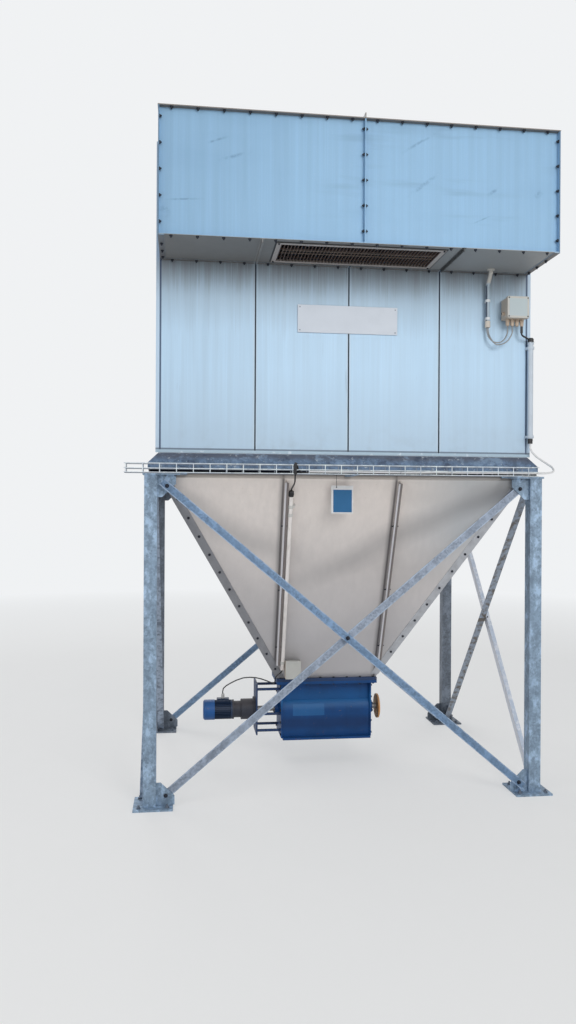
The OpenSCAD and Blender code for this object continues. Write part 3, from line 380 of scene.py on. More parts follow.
def soffit_marks(f, base):
    """Pale turned edge along the wall, a dark gap round the grille, a dark joint at the right, a pale one at
    the left and dull patches.
    """
    patch = f.noise(3.5, 4).above(0.45, 0.3)
    base = f.blend(patch * 0.35, base, (0.15, 0.15, 0.15))
    gap = f.y.near(-GRILLE_Y - 0.193, 0.007, 0.002) * f.x.size().below(0.522, 0.002)
    gap = gap + f.x.size().near(0.518, 0.004, 0.001) * (f.y + GRILLE_Y).size().below(0.19, 0.002)
    base = f.blend(f.x.above(0.25, 0.5) * 0.85, base, (0.33, 0.34, 0.345))
    fold = WALL_Y + 0.0375
    base = f.blend(f.y.above(-fold + 0.001, 0.0015) * 0.75, base, (0.36, 0.35, 0.34))
    base = f.blend(f.y.near(-fold - 0.001, 0.0015, 0.001) * 0.8, base, (0.03, 0.03, 0.03))
    base = f.blend(gap * 0.8, base, (0.03, 0.03, 0.035))
    joint = f.x.size().near(0.6015, 0.012, 0.002)
    right = f.x.above(0, 0.01)
    base = f.blend(joint * right * 0.8, base, (0.06, 0.06, 0.06))
    return f.blend(joint * (1 - right) * 0.7, base, (0.32, 0.31, 0.3))


def rim_marks(f, base):
    """Dark line round the grille's rim."""
    edge = f.x.size().above(0.5115, 0.001) + (f.y + GRILLE_Y).size().above(0.1825, 0.001)
    return f.blend(edge.above(0.5, 0.2) * 0.85, base, (0.03, 0.03, 0.03))


def roof_marks(f, base):
    """Dried puddles, rain marks and lichen on top, a brown front edge."""
    puddle = f.noise(1.7, 4, roughness=0.6)
    base = f.blend(puddle.above(0.48, 0.22) * 0.35, base, (0.5, 0.52, 0.51))
    base = f.blend(puddle.near(0.56, 0.004, 0.02) * 0.14, base, (0.2, 0.21, 0.21))
    rain = f.streaks(5, 9, 1.1, 9).above(0.5, 0.2)
    base = f.blend(rain * 0.4, base, (0.25, 0.28, 0.3))
    lichen = f.noise(34, 4, roughness=0.75).above(0.66, 0.04)
    base = f.blend(lichen * 0.5, base, (0.27, 0.27, 0.2))
    base = f.blend(f.x.size().near(0.02, 0.015, 0.05) * 0.45, base, (0.16, 0.17, 0.17))
    return f.blend(f.y.below(-RIM_Y + 0.0015, 0.001) * 0.9, base, EDGE_BROWN)


def dull_paint(name, colour, dust, dust_amount=0.3, roughness=0.42, chips=0.0, metal=0.0):
    """Paint with dust on what faces up, uneven gloss and a few chips."""
    f = Finish(name, roughness=roughness, metallic=metal)
    cloud = f.noise(5, 4)
    fine = f.noise(70, 3)
    runs = f.streaks(4, 30, 30, 2.5)
    base = f.blend(cloud.above(0.35, 0.35), toned(colour, 0.82), toned(colour, 1.15))
    base = f.blend(runs.above(0.5, 0.2) * 0.35, base, toned(colour, 0.65))
    up = f.facing(2).above(0.2, 0.5)
    base = f.blend((up * 0.6 + fine.above(0.55, 0.15) * 0.35) * dust_amount, base, dust)
    if chips:
        bare = f.noise(26, 5, roughness=0.7).above(0.66, 0.03)
        base = f.blend(bare * chips, base, (0.18, 0.13, 0.1))
    f.set("Base Color", base)
    f.set("Roughness", roughness - 0.06 + 0.2 * cloud + 0.08 * fine)
    f.relief(fine + cloud * 0.5, 0.1)
    return f


def plastic(name, colour, grime=0.2, roughness=0.45):
    """Matt plastic with faint dirt, darker on what faces up."""
    f = Finish(name, roughness=roughness, metallic=0.0)
    cloud = f.noise(14, 4)
    fine = f.noise(180, 2)
    base = f.blend(cloud.above(0.4, 0.3) * grime, colour, toned(colour, 0.6))
    base = f.blend(f.facing(2).above(0.5, 0.3) * 0.4, base, toned(colour, 0.7))
    f.set("Base Color", base)
    f.set("Roughness", roughness + 0.12 * cloud)
    f.relief(fine, 0.06, 0.0005)
    return f


def wear_and_painted_light(f, *layers):
    """Lays colours over a finish, each a mask and a colour."""
    base = Value(f, f.shader.inputs["Base Color"].links[0].from_socket)
    for mask, colour in layers:
        base = f.blend(mask, base, colour)
    f.set("Base Color", base)
    return f


def zinc_beam():
    """The ring beam's zinc, dark and brownish as painted shade, with deeper painted shade in the open side of
    the channel.
    """
    f = galvanised("ring beam zinc", (0.12, 0.115, 0.115), 0.014, 0.4)
    # Painted shade inside the channel.
    inside = f.x.size().below(1.258, 0.004) * f.y.size().below(0.914, 0.004)
    return wear_and_painted_light(f, (inside * 0.92, (0.014, 0.02, 0.048)))


def zinc_skirt():
    """Spangled zinc with pale blooms, brownish toward the wall and bluer below."""
    f = galvanised("skirt zinc", (0.1, 0.16, 0.255), 0.016, 0.7, 0.4)
    bloom = f.noise(9, 5, f.stretched(1, 1, 1.6), 0.7)
    crust = f.noise(26, 5, f.stretched(1, 1, 1.4), 0.75)
    wave = (f.noise(6, 3) - 0.5) * 0.05
    return wear_and_painted_light(
        f,
        ((f.z + wave).above(2.165, 0.025) * 0.75, (0.07, 0.075, 0.1)),
        (bloom.above(0.54, 0.1) * 0.55, (0.22, 0.32, 0.45)),
        (bloom.below(0.45, 0.08) * 0.75, (0.03, 0.045, 0.085)),
        (crust.above(0.6, 0.06) * 0.7, (0.42, 0.47, 0.52)),
        (crust.below(0.38, 0.05) * 0.5, (0.05, 0.05, 0.06)),
        (f.z.near(2.2085, 0.0008, 0.001), (0.5, 0.56, 0.62)),
    )


def zinc_brace(name, colour, right_lighting):
    """Brace zinc with painted highlights on its edges; the right side's bars take a given colour of painted
    lighting, the left side's painted shade.
    """
    f = galvanised(name, colour, 0.012, 0.3, bloom=0.3)
    right = f.x.above(1.2, 0.01)
    left = f.x.below(-1.2, 0.01)
    rise = f.z - BRACE_MIDDLE
    half_height = BRACE_TOP - BRACE_MIDDLE
    lengthwise = f.y.size().above(0.9, 0.001)
    # Painted highlights along the bars' edges.
    edges = 0
    for run, half, mask in zip((f.x, f.y), BRACE_HALF, (lengthwise, 1 - lengthwise)):
        length = (half**2 + half_height**2) ** 0.5
        upright, level = rise * (half / length), run * (half_height / length)
        across = rise.maths("MINIMUM", (upright + level).size(), (upright - level).size())
        edges = edges + across.above(0.0182, 0.0015) * mask
    line = f.noise(30, 3).above(0.35, 0.2)
    return wear_and_painted_light(
        f,
        # The right side's bars in the given painted lighting, the left side's in painted shade.
        (right * 0.88, right_lighting),
        (left * 0.5, (0.09, 0.11, 0.15)),
        (edges * line * 0.65, (0.46, 0.56, 0.7)),
    )


def tray_zinc():
    """Bright zinc wire at the front of the tray, darker behind it and on its floor."""
    f = galvanised("tray wire", (0.74, 0.82, 0.92), 0.02, 0.1, 0.0)
    return wear_and_painted_light(f, (f.y.above(-1.1405, 0.001) * 0.85, (0.12, 0.14, 0.19)))


def box_plastic():
    """Pale plastic of the electrical boxes, in brownish painted shade aside and below, with a bluish field in
    the cover.
    """
    f = plastic("box grey", (0.6, 0.6, 0.57))
    aside = f.facing(0).size().above(0.5, 0.2) + (0 - f.facing(2)).above(0.5, 0.2)
    field = f.x.near(BOX_X, 0.0595, 0.001) * f.z.near((BOX_LOW + BOX_TOP) / 2, 0.0555, 0.001)
    field = field * f.y.near(-1.0211, 0.0012, 0.0003)
    # Sides and underside take brownish painted shade.
    return wear_and_painted_light(f, (aside * 0.75, (0.5, 0.41, 0.32)), (field * 0.85, (0.48, 0.58, 0.62)))


def soffit_pipe():
    """Grey plastic pipe with painted shade on its left side, pale clips and a cream end."""
    f = plastic("soffit pipe", (0.42, 0.52, 0.6))
    bend = 3.33
    pipe = f.z.below(bend, 0.01)
    clips = f.z.near(3.109, 0.008, 0.001) + f.z.near(3.225, 0.008, 0.001)
    return wear_and_painted_light(
        f,
        (f.z.above(bend, 0.01) * 0.8, (0.6, 0.56, 0.5)),
        # Painted shade on the pipe's left half.
        (f.x.below(0.9105, 0.003) * pipe * 0.85, (0.03, 0.04, 0.08)),
        (clips * 0.9, (0.8, 0.82, 0.84)),
        (f.z.below(3.0925, 0.001), (0.66, 0.6, 0.53)),
    )


def hopper_pipe():
    """Nearly white pipe with brown painted shade along both sides, and streaks of dirt."""
    f = plastic("pipe grey", (0.92, 0.88, 0.86), 0.1)
    side = f.facing(0).size().above(0.8, 0.12)
    dirt = f.streaks(4, 30, 30, 3).above(0.5, 0.2)
    # Faces turned to the sides take brown painted shade.
    return wear_and_painted_light(f, (side * 0.75, (0.2, 0.16, 0.15)), (dirt * 0.3, (0.5, 0.43, 0.38)))


def motor_paint():
    """Bright enamel on the fan cowl, much darker on the finned body."""
    f = dull_paint("motor blue", (0.004, 0.085, 0.3), (0.06, 0.13, 0.24), 0.25, 0.4, 0.5)
    fins = f.x.above(-0.817, 0.002)
    return wear_and_painted_light(f, (fins * 0.85, (0.01, 0.018, 0.035)))


def valve_paint():
    """Blue enamel with a painted sky reflection high on the front, painted shade lower down, a bare paler
    patch on the front and rust freckles low down.
    """
    f = dull_paint("valve blue", (0.003, 0.062, 0.225), (0.02, 0.08, 0.18), 0.2, 0.36, 0.6)
    f.shader.inputs["Specular IOR Level"].default_value = 0.3
    front = f.y.below(-0.1, 0.01)
    patch = f.x.near(-0.13, 0.115, 0.003) * f.z.near(0.385, 0.04, 0.003) * front
    rust = f.noise(18, 5, roughness=0.7).above(0.6, 0.06) * f.z.below(0.24, 0.06)
    sky = f.z.near(0.465, 0.02, 0.06) * front
    return wear_and_painted_light(
        f,
        # A painted reflection of the sky, then painted shade.
        (sky * 0.6, (0.012, 0.15, 0.4)),
        (f.z.near(0.29, 0.02, 0.04) * front * 0.5, (0.003, 0.02, 0.085)),
        (patch * 0.5, (0.03, 0.17, 0.42)),
        (rust * 0.6, (0.11, 0.06, 0.03)),
    )


finishes = [
    # The blue of the zinc finishes is a painted reflection of the sky; the rear legs' darker zinc is painted
    # shade.
    galvanised("frame zinc", (0.24, 0.335, 0.45), 0.012, 0.3, bloom=0.75),
    galvanised("rear leg shaded zinc", (0.155, 0.185, 0.23), 0.012, 0.3, bloom=0.6),
    # The right side's outer bars in painted sunlight, the inner bars in painted shade.
    zinc_brace("outer brace zinc", (0.185, 0.29, 0.44), (0.85, 0.87, 0.92)),
    zinc_brace("inner brace zinc", (0.265, 0.315, 0.4), (0.17, 0.145, 0.12)),
    zinc_beam(),
    zinc_skirt(),
    wall_sheet("front wall sheet", SKY_ZINC, marks=wall_marks),
    wall_sheet("side wall sheet", SIDE_ZINC, marks=side_marks),
    wall_sheet("head sheet", HEAD_ZINC, scuffs=True, marks=head_marks),
    # The soffit's dark grey is painted shade on a sheet that faces the ground.
    wall_sheet("soffit sheet", (0.22, 0.22, 0.215), (0.19, 0.185, 0.18), marks=soffit_marks),
    wall_sheet("roof sheet", (0.36, 0.42, 0.46), marks=roof_marks),
    wall_sheet("grille rim", (0.34, 0.31, 0.29), (0.38, 0.34, 0.32), marks=rim_marks),
    wall_sheet(
        "hopper sheet", (0.85, 0.785, 0.745), (0.42, 0.4, 0.38), marks=hopper_marks, streaks=0.25
    ),
    wall_sheet("corner strip", (0.3, 0.305, 0.33), (0.25, 0.25, 0.26), marks=strip_marks),
    dull_paint("slat brown", (0.12, 0.08, 0.068), (0.3, 0.24, 0.2), 0.7, 0.6, metal=0.3),
    dull_paint("bar beige", (0.22, 0.17, 0.14), (0.32, 0.27, 0.22), 0.6, 0.6, metal=0.2),
    valve_paint(),
    dull_paint("flange blue", (0.006, 0.035, 0.12), (0.04, 0.07, 0.14), 0.25, 0.45, 0.6),
    motor_paint(),
    dull_paint("gear grey", (0.03, 0.034, 0.05), (0.14, 0.12, 0.11), 0.5, 0.55),
    dull_paint("rotor steel", (0.3, 0.29, 0.28), (0.3, 0.28, 0.26), 0.3, 0.4, metal=0.8),
    dull_paint("disc orange", (0.66, 0.3, 0.09), (0.4, 0.3, 0.2), 0.4, 0.45, 0.9),
    tray_zinc(),
    box_plastic(),
    hopper_pipe(),
    soffit_pipe(),
    plastic("pipe pale", (0.6, 0.68, 0.77)),
    plastic("sheath white", (0.82, 0.83, 0.84), 0.1),
    plastic("sheath grey", (0.3, 0.31, 0.32)),
    plastic("sheath black", (0.012, 0.012, 0.014), 0.1, 0.4),
    dull_paint("bolt dark", (0.03, 0.035, 0.05), (0.1, 0.1, 0.1), 0.3, 0.5, metal=0.5),
    galvanised("bolt zinc", (0.15, 0.18, 0.23), 0.01, 0.2, 0.5),
    plastic("plate white", (0.62, 0.68, 0.77), 0.06, 0.35),
    plastic("label blue", (0.002, 0.115, 0.29), 0.12, 0.5),
    plastic("label white", (0.72, 0.73, 0.75), 0.15, 0.4),
    plastic("gland white", (0.66, 0.66, 0.64), 0.1, 0.4),
    plastic("gland beige", (0.52, 0.42, 0.33), 0.2, 0.4),
]
FINISHES = {f.material.name: f.material for f in finishes}

# The solids that carry each finish.
DRESS = {
    "frame zinc": ["front_left_leg", "front_right_leg", "tray_brackets"],
    "rear leg shaded zinc": ["rear_left_leg", "rear_right_leg"],
    "outer brace zinc": ["braces_outer"],
    "inner brace zinc": ["braces_inner"],
    "ring beam zinc": ["ring_beam"],
    "skirt zinc": ["skirt"],
    "front wall sheet": ["wall_front"],
    "side wall sheet": ["wall_rear", "wall_left", "wall_right"],
    "head sheet": ["head_front", "head_left", "head_right"],
    "soffit sheet": ["soffit"],
    "roof sheet": ["roof"],
    "grille rim": ["grille_frame"],
    "slat brown": ["vent_grille"],
    "hopper sheet": ["hopper_front", "hopper_rear", "hopper_left", "hopper_right"],
    "corner strip": ["hopper_corners"],
    "valve blue": ["valve_body", "valve_end_left", "valve_end_right"],
    "flange blue": ["hopper_flange", "drive_bracket"],
    "motor blue": ["motor"],
    "gear grey": ["gearbox"],
    "rotor steel": ["rotor"],
    "disc orange": ["shaft_disc"],
    "tray wire": ["tray_floor", "tray_sides"],
    "box grey": ["junction_box", "switch_box"],
    "pipe grey": ["hopper_conduit"],
    "soffit pipe": ["soffit_conduit"],
    "pipe pale": ["corner_conduit"],
    "sheath grey": ["box_hose"],
    "sheath white": ["tray_cable"],
    "sheath black": ["corner_cable", "hopper_cable", "motor_cable"],
}
for finish, nodes in DRESS.items():
    for node in nodes:
        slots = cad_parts[node].data.materials
        slots.clear()
        slots.append(FINISHES[finish])


# Fasteners and small pieces


UP, DOWN = (0, 0, 1), (0, 0, -1)
LEFT, RIGHT = (-1, 0, 0), (1, 0, 0)
FRONT, BACK = (0, -1, 0), (0, 1, 0)
SHEET = 0.003  # thickness of the folded sheets
WASHER = 0.0034  # from a sheet's plane to a washer on its face
ROUND_OFF = {"profile": 0.5, "affect": "EDGES", "material": -1}

# Screws, bolts and nuts by half the width of the head.
GRILLE_SCREW, DISC_SCREW = 0.0065, 0.012
SMALL_BOLT, SHEET_BOLT, PLATE_BOLT, BRACE_BOLT = 0.0085, 0.0095, 0.0105, 0.0125
ANCHOR_NUT = 0.013


def as_mesh(name, bm):
    mesh = bpy.data.meshes.new(name)
    bm.to_mesh(mesh)
    bm.free()
    return mesh


def placed(name, data):
    """A new object in the scene."""
    obj = bpy.data.objects.new(name, data)
    bpy.context.scene.collection.objects.link(obj)
    return obj


def piece(name, bm, finish, body="unit", smooth=False):
    """Turns a bmesh into a piece that rides on a body."""
    for face in bm.faces:
        face.smooth = smooth
    obj = placed(name, as_mesh(name, bm))
    obj.data.materials.append(FINISHES[finish])
    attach(obj, body)
    return obj


def at_point(x, y, z):
    """A place whose Z runs upward."""
    return Matrix.Translation((x, y, z))


def along(point, way):
    """A place whose Z runs along a direction."""
    turn = Vector((0, 0, 1)).rotation_difference(Vector(way)).to_matrix().to_4x4()
    return Matrix.Translation(point) @ turn


def prism(bm, sides, radius, low, high, top=None, place=Matrix()):
    """A closed prism along a place's Z, or a cone where the top has a radius of its own."""
    bmesh.ops.create_cone(
        bm, cap_ends=True, segments=sides, radius1=radius, radius2=radius if top is None else top,
        depth=high - low, matrix=place @ at_point(0, 0, (low + high) / 2),
    )


def block(bm, low, high):
    """Adds a block between two corners and returns its vertices."""
    low, high = Vector(low), Vector(high)
    place = Matrix.LocRotScale((low + high) / 2, None, high - low)
    return bmesh.ops.create_cube(bm, size=1, matrix=place)["verts"]


def panel(bm, low, high, bevel=0.0008):
    """A thin block with softened edges."""
    edges = {e for v in block(bm, low, high) for e in v.link_edges}
    bmesh.ops.bevel(bm, geom=list(edges), offset=bevel, segments=2, **ROUND_OFF)


def bolt_mesh(size, stem=0.0):
    """A hexagon head on a washer, standing on Z = 0, with an end of thread above it if asked."""
    bm = bmesh.new()
    prism(bm, 12, size * 1.05, 0, size * 0.2)
    prism(bm, 6, size * 0.95, size * 0.2, size * 0.72)
    prism(bm, 6, size * 0.95, size * 0.72, size * 0.85, size * 0.78)
    if stem:
        prism(bm, 8, size * 0.5, size * 0.85, size * 0.85 + stem)
    return as_mesh("bolt", bm)


def bolts(name, places, size, finish="bolt dark", body="unit", stem=0.0):
    """One piece that holds a bolt at each (point, direction), every head turned further than the last."""
    twist = 0.7
    bm = bmesh.new()
    template = bolt_mesh(size, stem)
    for index, (point, way) in enumerate(places):
        before = len(bm.verts)
        bm.from_mesh(template)
        bm.verts.ensure_lookup_table()
        place = along(point, way) @ Matrix.Rotation(index * twist, 4, "Z")
        bmesh.ops.transform(bm, matrix=place, verts=bm.verts[before:])
    bpy.data.meshes.remove(template)
    return piece(name, bm, finish, body)


def spaced(first, last, count):
    """Evenly spaced values, both ends included."""
    return [first + (last - first) * i / (count - 1) for i in range(count)]


# Bolts of the head box: below the roof's edge, below the soffit and through the upright flanges.
flange_y = -(HEAD_Y + RIM_Y) / 2
side_flange = 1.1936
row = spaced(-1.125, 1.125, 16)  # every 150 mm
head = [((x, flange_y, z), DOWN) for z in (ROOF - SHEET, SOFFIT) for x in row]
for z in spaced(3.491, 4.09, 5):
    for x, way in ((-WASHER, LEFT), (WASHER, RIGHT), (-side_flange, RIGHT), (side_flange, LEFT)):
        head.append(((x, flange_y, z), way))
bolts("head_bolts", head, SHEET_BOLT, stem=0.006)

# Bolts of the soffit's turned edges, along the front wall and both sides.
turned = 0.018
soffit = [((x, -WALL_Y - turned, SOFFIT - SHEET), DOWN) for x in row]
for side in (-1, 1):
    soffit += [((side * (WALL_X - turned), y, SOFFIT - SHEET), DOWN) for y in (-1.22, -1.09, -0.97)]
bolts("soffit_bolts", soffit, SHEET_BOLT, stem=0.006)

# Screws at the corners of the grille's frame.
frame_x, frame_y, frame_z = 0.5, 0.171, SOFFIT - 0.004
grille = [((x, -GRILLE_Y + y, frame_z), DOWN) for x in (-frame_x, frame_x) for y in (-frame_y, frame_y)]
bolts("grille_screws", grille, GRILLE_SCREW, "bolt dark")

# Bolts through the roof's standing seam, at half its height.
seam_z = ROOF + 0.015
ridge = [((way[0] * WASHER, y, seam_z), way) for y in spaced(-1.2, 0.8, 14) for way in (LEFT, RIGHT)]
bolts("roof_bolts", ridge, SMALL_BOLT)

# Seals in the gaps between the wall panels, inside of their faces.
seal_x, seal_y, seal_low, seal_top = 0.0011, 0.013, 2.25, 4.11
bm = bmesh.new()
for x in JOINTS:
    for y in (-WALL_Y + 0.02, WALL_Y - 0.02):
        block(bm, (x - seal_x, y - seal_y, seal_low), (x + seal_x, y + seal_y, seal_top))
piece("panel_seals", bm, "sheath black")

# Two thin bars across the grille's slats.
bar_x, bar_y = 0.47, 0.0035
bm = bmesh.new()
for y in (-1.2, -1.15):
    block(bm, (-bar_x, y - bar_y, SOFFIT - 0.005), (bar_x, y + bar_y, SOFFIT - 0.002))
piece("grille_bars", bm, "bar beige")

# Bolts of the housing's rear corner flanges.
corner = [((side * (WALL_X + 0.013), WALL_Y, z), BACK) for side in (-1, 1) for z in spaced(2.3, 4.05, 12)]
bolts("corner_bolts", corner, SMALL_BOLT)

# Bolts through the standing seams and the corner angles of the hopper's front and rear.
seam_middle, seam_half = 0.024, 0.004  # how far out the bolts sit, and the seam's half thickness
angle_inset = 0.031
upward = Vector((0, OUTLET_Y - HOPPER_Y, SLOPE_TOP - SLOPE_LOW)).normalized()
outward = Vector((0, -upward.z, upward.y))
seam, angle = [], []
for turn in (0, pi):
    spin = Matrix.Rotation(turn, 4, "Z")
    for side in (-1, 1):
        for up in (0.30, 0.78, 1.28):
            middle = Vector((side * OUTLET_X - up * sin(SEAM_LEAN), -OUTLET_Y, SLOPE_LOW))
            middle += upward * up * cos(SEAM_LEAN) + outward * seam_middle
            for way in (LEFT, RIGHT):
                seam.append((spin @ (middle + Vector(way) * seam_half), spin @ Vector(way)))
        edge = Vector((side * (OUTLET_X - HOPPER_X), HOPPER_Y - OUTLET_Y, SLOPE_LOW - SLOPE_TOP))
        for share in spaced(0.093, 0.944, 11):
            at = Vector((side * (HOPPER_X - angle_inset), -HOPPER_Y, SLOPE_TOP)) + edge * share
            angle.append((spin @ (at + outward * WASHER), spin @ outward))
bolts("seam_bolts", seam, SMALL_BOLT, stem=0.012)
bolts("angle_bolts", angle, SMALL_BOLT)

# Bolts of the braces. The bars lie on both sides of the gussets, and one bolt joins them where they cross.
gusset_face, bar_face = 0.004, 0.009
braces = []
for n in range(4):
    half, plane = BRACE_HALF[n % 2], BRACE_PLANE[n % 2]
    spin = Matrix.Rotation(n * pi / 2, 4, "Z")
    lean = -1 if n == 1 else 1  # on the right side the outer bar rises the other way
    for x in (-half, half):
        for z in (BRACE_LOW, BRACE_TOP):
            outer = (x * lean < 0) == (z > BRACE_MIDDLE)
            ahead, behind = (bar_face, gusset_face) if outer else (gusset_face, bar_face)
            braces.append((spin @ Vector((x, -plane - ahead, z)), spin @ Vector(FRONT)))
            braces.append((spin @ Vector((x, -plane + behind, z)), spin @ Vector(BACK)))
    braces.append((spin @ Vector((0, -plane - bar_face, BRACE_MIDDLE)), spin @ Vector(FRONT)))
bolts("brace_bolts", braces, BRACE_BOLT, stem=0.008)

# Nuts on the foot plates and bolts below the head plates.
foot_x, foot_y, foot_top, hole = 1.2265, 0.8825, 0.012, 0.0875
plate_y, plate_z = 0.915, 2.068
corners = [(x, y) for x in (-1, 1) for y in (-1, 1)]
anchors = [
    ((x * foot_x + dx * hole, y * foot_y + dy * hole, foot_top), UP) for x, y in corners for dx, dy in corners
]
bolts("anchor_nuts", anchors, ANCHOR_NUT, "bolt zinc", stem=0.01)
plates = [((side * x, y * plate_y, plate_z), DOWN) for side, y in corners for x in (1.10, 1.16)]
bolts("plate_bolts", plates, PLATE_BOLT, "bolt zinc", stem=0.008)

# Bolts of the valve's flange, end plates and bearing housings, and the disc's screw.
flange_low = SLOPE_LOW - 0.042
end_face, bearing_face, disc_face = 0.3354, 0.3694, 0.419
bearing_circle = 0.038
valve = []
for x in spaced(-0.345, 0.345, 8):
    for y in (-0.165, 0.165):
        valve += [((x, y, SLOPE_LOW), UP), ((x, y, flange_low), DOWN)]
for way in (LEFT, RIGHT):
    for y in (-0.135, 0.135):
        for z in spaced(0.21, 0.56, 5):
            valve.append(((way[0] * end_face, y, z), way))
    for quarter in range(4):
        turn = pi / 4 + quarter * pi / 2
        y, z = bearing_circle * cos(turn), SHAFT_Z + bearing_circle * sin(turn)
        valve.append(((way[0] * bearing_face, y, z), way))
bolts("valve_bolts", valve, SMALL_BOLT, "bolt dark")
bolts("disc_screw", [((disc_face, 0, SHAFT_Z), RIGHT)], DISC_SCREW, "bolt zinc", "rotor_set")

# The bare plate on the front wall, on four screws with spacers.
plate_left, plate_right, plate_low, plate_top = -0.333, 0.319, 2.988, 3.165
spacer, plate_depth, inset = 0.0045, 0.003, 0.015
plate_face = -WALL_Y - spacer - plate_depth
bm = bmesh.new()
panel(bm, (plate_left, plate_face, plate_low), (plate_right, -WALL_Y - spacer, plate_top))
piece("front_plate", bm, "plate white")
bm = bmesh.new()
for x in (plate_left + inset, plate_right - inset):
    for z in (plate_low + inset, plate_top - inset):
        prism(bm, 10, 0.004, 0, 0.003, 0.003, along((x, plate_face, z), FRONT))
        prism(bm, 8, 0.007, 0, spacer, place=along((x, -WALL_Y, z), FRONT))
piece("plate_screws", bm, "bolt zinc")


# Boxes, glands, cables and the label


def gland(bm, point, way, radius, length):
    """A cable gland: a hexagon, a round cap and a tapered end."""
    place = along(point, way)
    prism(bm, 6, radius * 1.12, 0, length * 0.3, place=place)
    prism(bm, 16, radius, length * 0.3, length * 0.8, place=place)
    prism(bm, 16, radius, length * 0.8, length, radius * 0.7, place)


def rounded_block(bm, low, high, corner, edge, rim=0.0):
    """A block with round corners seen from the front, a soft front edge and, if asked, a sunk field."""
    near, lip, sink = 1e-6, 0.0008, 0.0014
    block(bm, low, high)
    deep = [e for e in bm.edges if abs(e.verts[0].co.y - e.verts[1].co.y) > near]
    if rim:
        front = [f for f in bm.faces if f.calc_center_median().y < low[1] + near]
        bmesh.ops.inset_region(bm, faces=front, thickness=rim, depth=0)
        bmesh.ops.inset_region(bm, faces=front, thickness=lip, depth=-sink)
    bmesh.ops.bevel(bm, geom=deep, offset=corner, segments=4, **ROUND_OFF)

    def on_outline(e):
        """True for the front's outer edges: straight top and bottom, sides and round corners."""
        if any(abs(v.co.y - low[1]) > near for v in e.verts):
            return False
        if any(all(abs(v.co.z - z) < near for v in e.verts) for z in (low[2], high[2])):
            return True
        aside = any(abs(v.co.x - x) < corner + 1e-4 for v in e.verts for x in (low[0], high[0]))
        return aside and any(f.normal.y > -0.5 for f in e.link_faces)

    outline = [e for e in bm.edges if on_outline(e)]
    bmesh.ops.bevel(bm, geom=outline, offset=edge, segments=2, **ROUND_OFF)


# The electrical box: a deep body, a cover with a sunk field, glands, spacers, leads and screws.
body_x, cover_x = 0.071, 0.074
body_face, cover_face, cover_back = -0.994, -1.0225, -0.9955
spacer_depth = 0.008
gland_x = [BOX_X + (i - 1.5) * 0.03195 for i in range(4)]
gland_y, gland_end, lead_end = -0.958, -0.041, 3.0182
side_gland, side_length = Vector((BOX_X - body_x, -0.955, 3.14)), 0.015
screw_x, screw_z = 0.0635, 0.0105
bm = bmesh.new()
low = (BOX_X - body_x, body_face, BOX_LOW + 0.003)
high = (BOX_X + body_x, -WALL_Y - spacer_depth + 0.0001, BOX_TOP - 0.003)
rounded_block(bm, low, high, 0.008, 0.001)
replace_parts(piece("box_body", bm, "box grey"), "junction_box")
bm = bmesh.new()
low, high = (BOX_X - cover_x, cover_face, BOX_LOW), (BOX_X + cover_x, cover_back, BOX_TOP)
rounded_block(bm, low, high, 0.009, 0.003, rim=0.014)
piece("box_cover", bm, "box grey")
bm = bmesh.new()
for x in gland_x:
    below = at_point(x, gland_y, BOX_LOW)
    prism(bm, 6, 0.0145, -0.013, 0.004, place=below)
    prism(bm, 16, 0.0122, -0.034, -0.013, place=below)
    prism(bm, 16, 0.0085, gland_end, -0.034, 0.0122, below)
for x in (BOX_X - 0.05, BOX_X + 0.05):
    for z in (BOX_LOW + 0.017, BOX_LOW + 0.107):
        prism(bm, 8, 0.009, 0.0003, spacer_depth, place=along((x, -WALL_Y, z), FRONT))
gland(bm, side_gland, LEFT, 0.0125, side_length)
piece("box_glands", bm, "gland beige")
bm = bmesh.new()
for x in gland_x[:2]:
    prism(bm, 12, 0.004, lead_end, BOX_LOW + gland_end + 0.001, place=at_point(x, gland_y, 0))
piece("box_leads", bm, "sheath grey")
bm = bmesh.new()
prism(bm, 14, 0.0085, lead_end, BOX_LOW + gland_end + 0.005, place=at_point(gland_x[3], gland_y, 0))
piece("box_lead", bm, "sheath black")
bm = bmesh.new()
prism(bm, 12, 0.0065, 0, 0.0006, place=along(side_gland + Vector(LEFT) * side_length, LEFT))
for x in (BOX_X - screw_x, BOX_X + screw_x):
    for z in (BOX_LOW + screw_z, BOX_TOP - screw_z):
        prism(bm, 12, 0.0048, 0, 0.0012, 0.0042, along((x, cover_face + 0.0003, z), FRONT))
piece("box_screws", bm, "bolt dark")

# Glands at both ends of the corner conduit.
pipe_x, pipe_y, pipe_foot, pipe_head = 1.212, -0.934, 2.298, 2.958
lower_end = at_point(pipe_x, pipe_y, pipe_foot)
bm = bmesh.new()
gland(bm, (pipe_x, pipe_y, pipe_head), UP, 0.019, 0.034)
prism(bm, 14, 0.0155, 0, 0.036, place=lower_end)
prism(bm, 14, 0.0175, 0.02, 0.026, place=lower_end)
piece("corner_glands", bm, "sheath black")

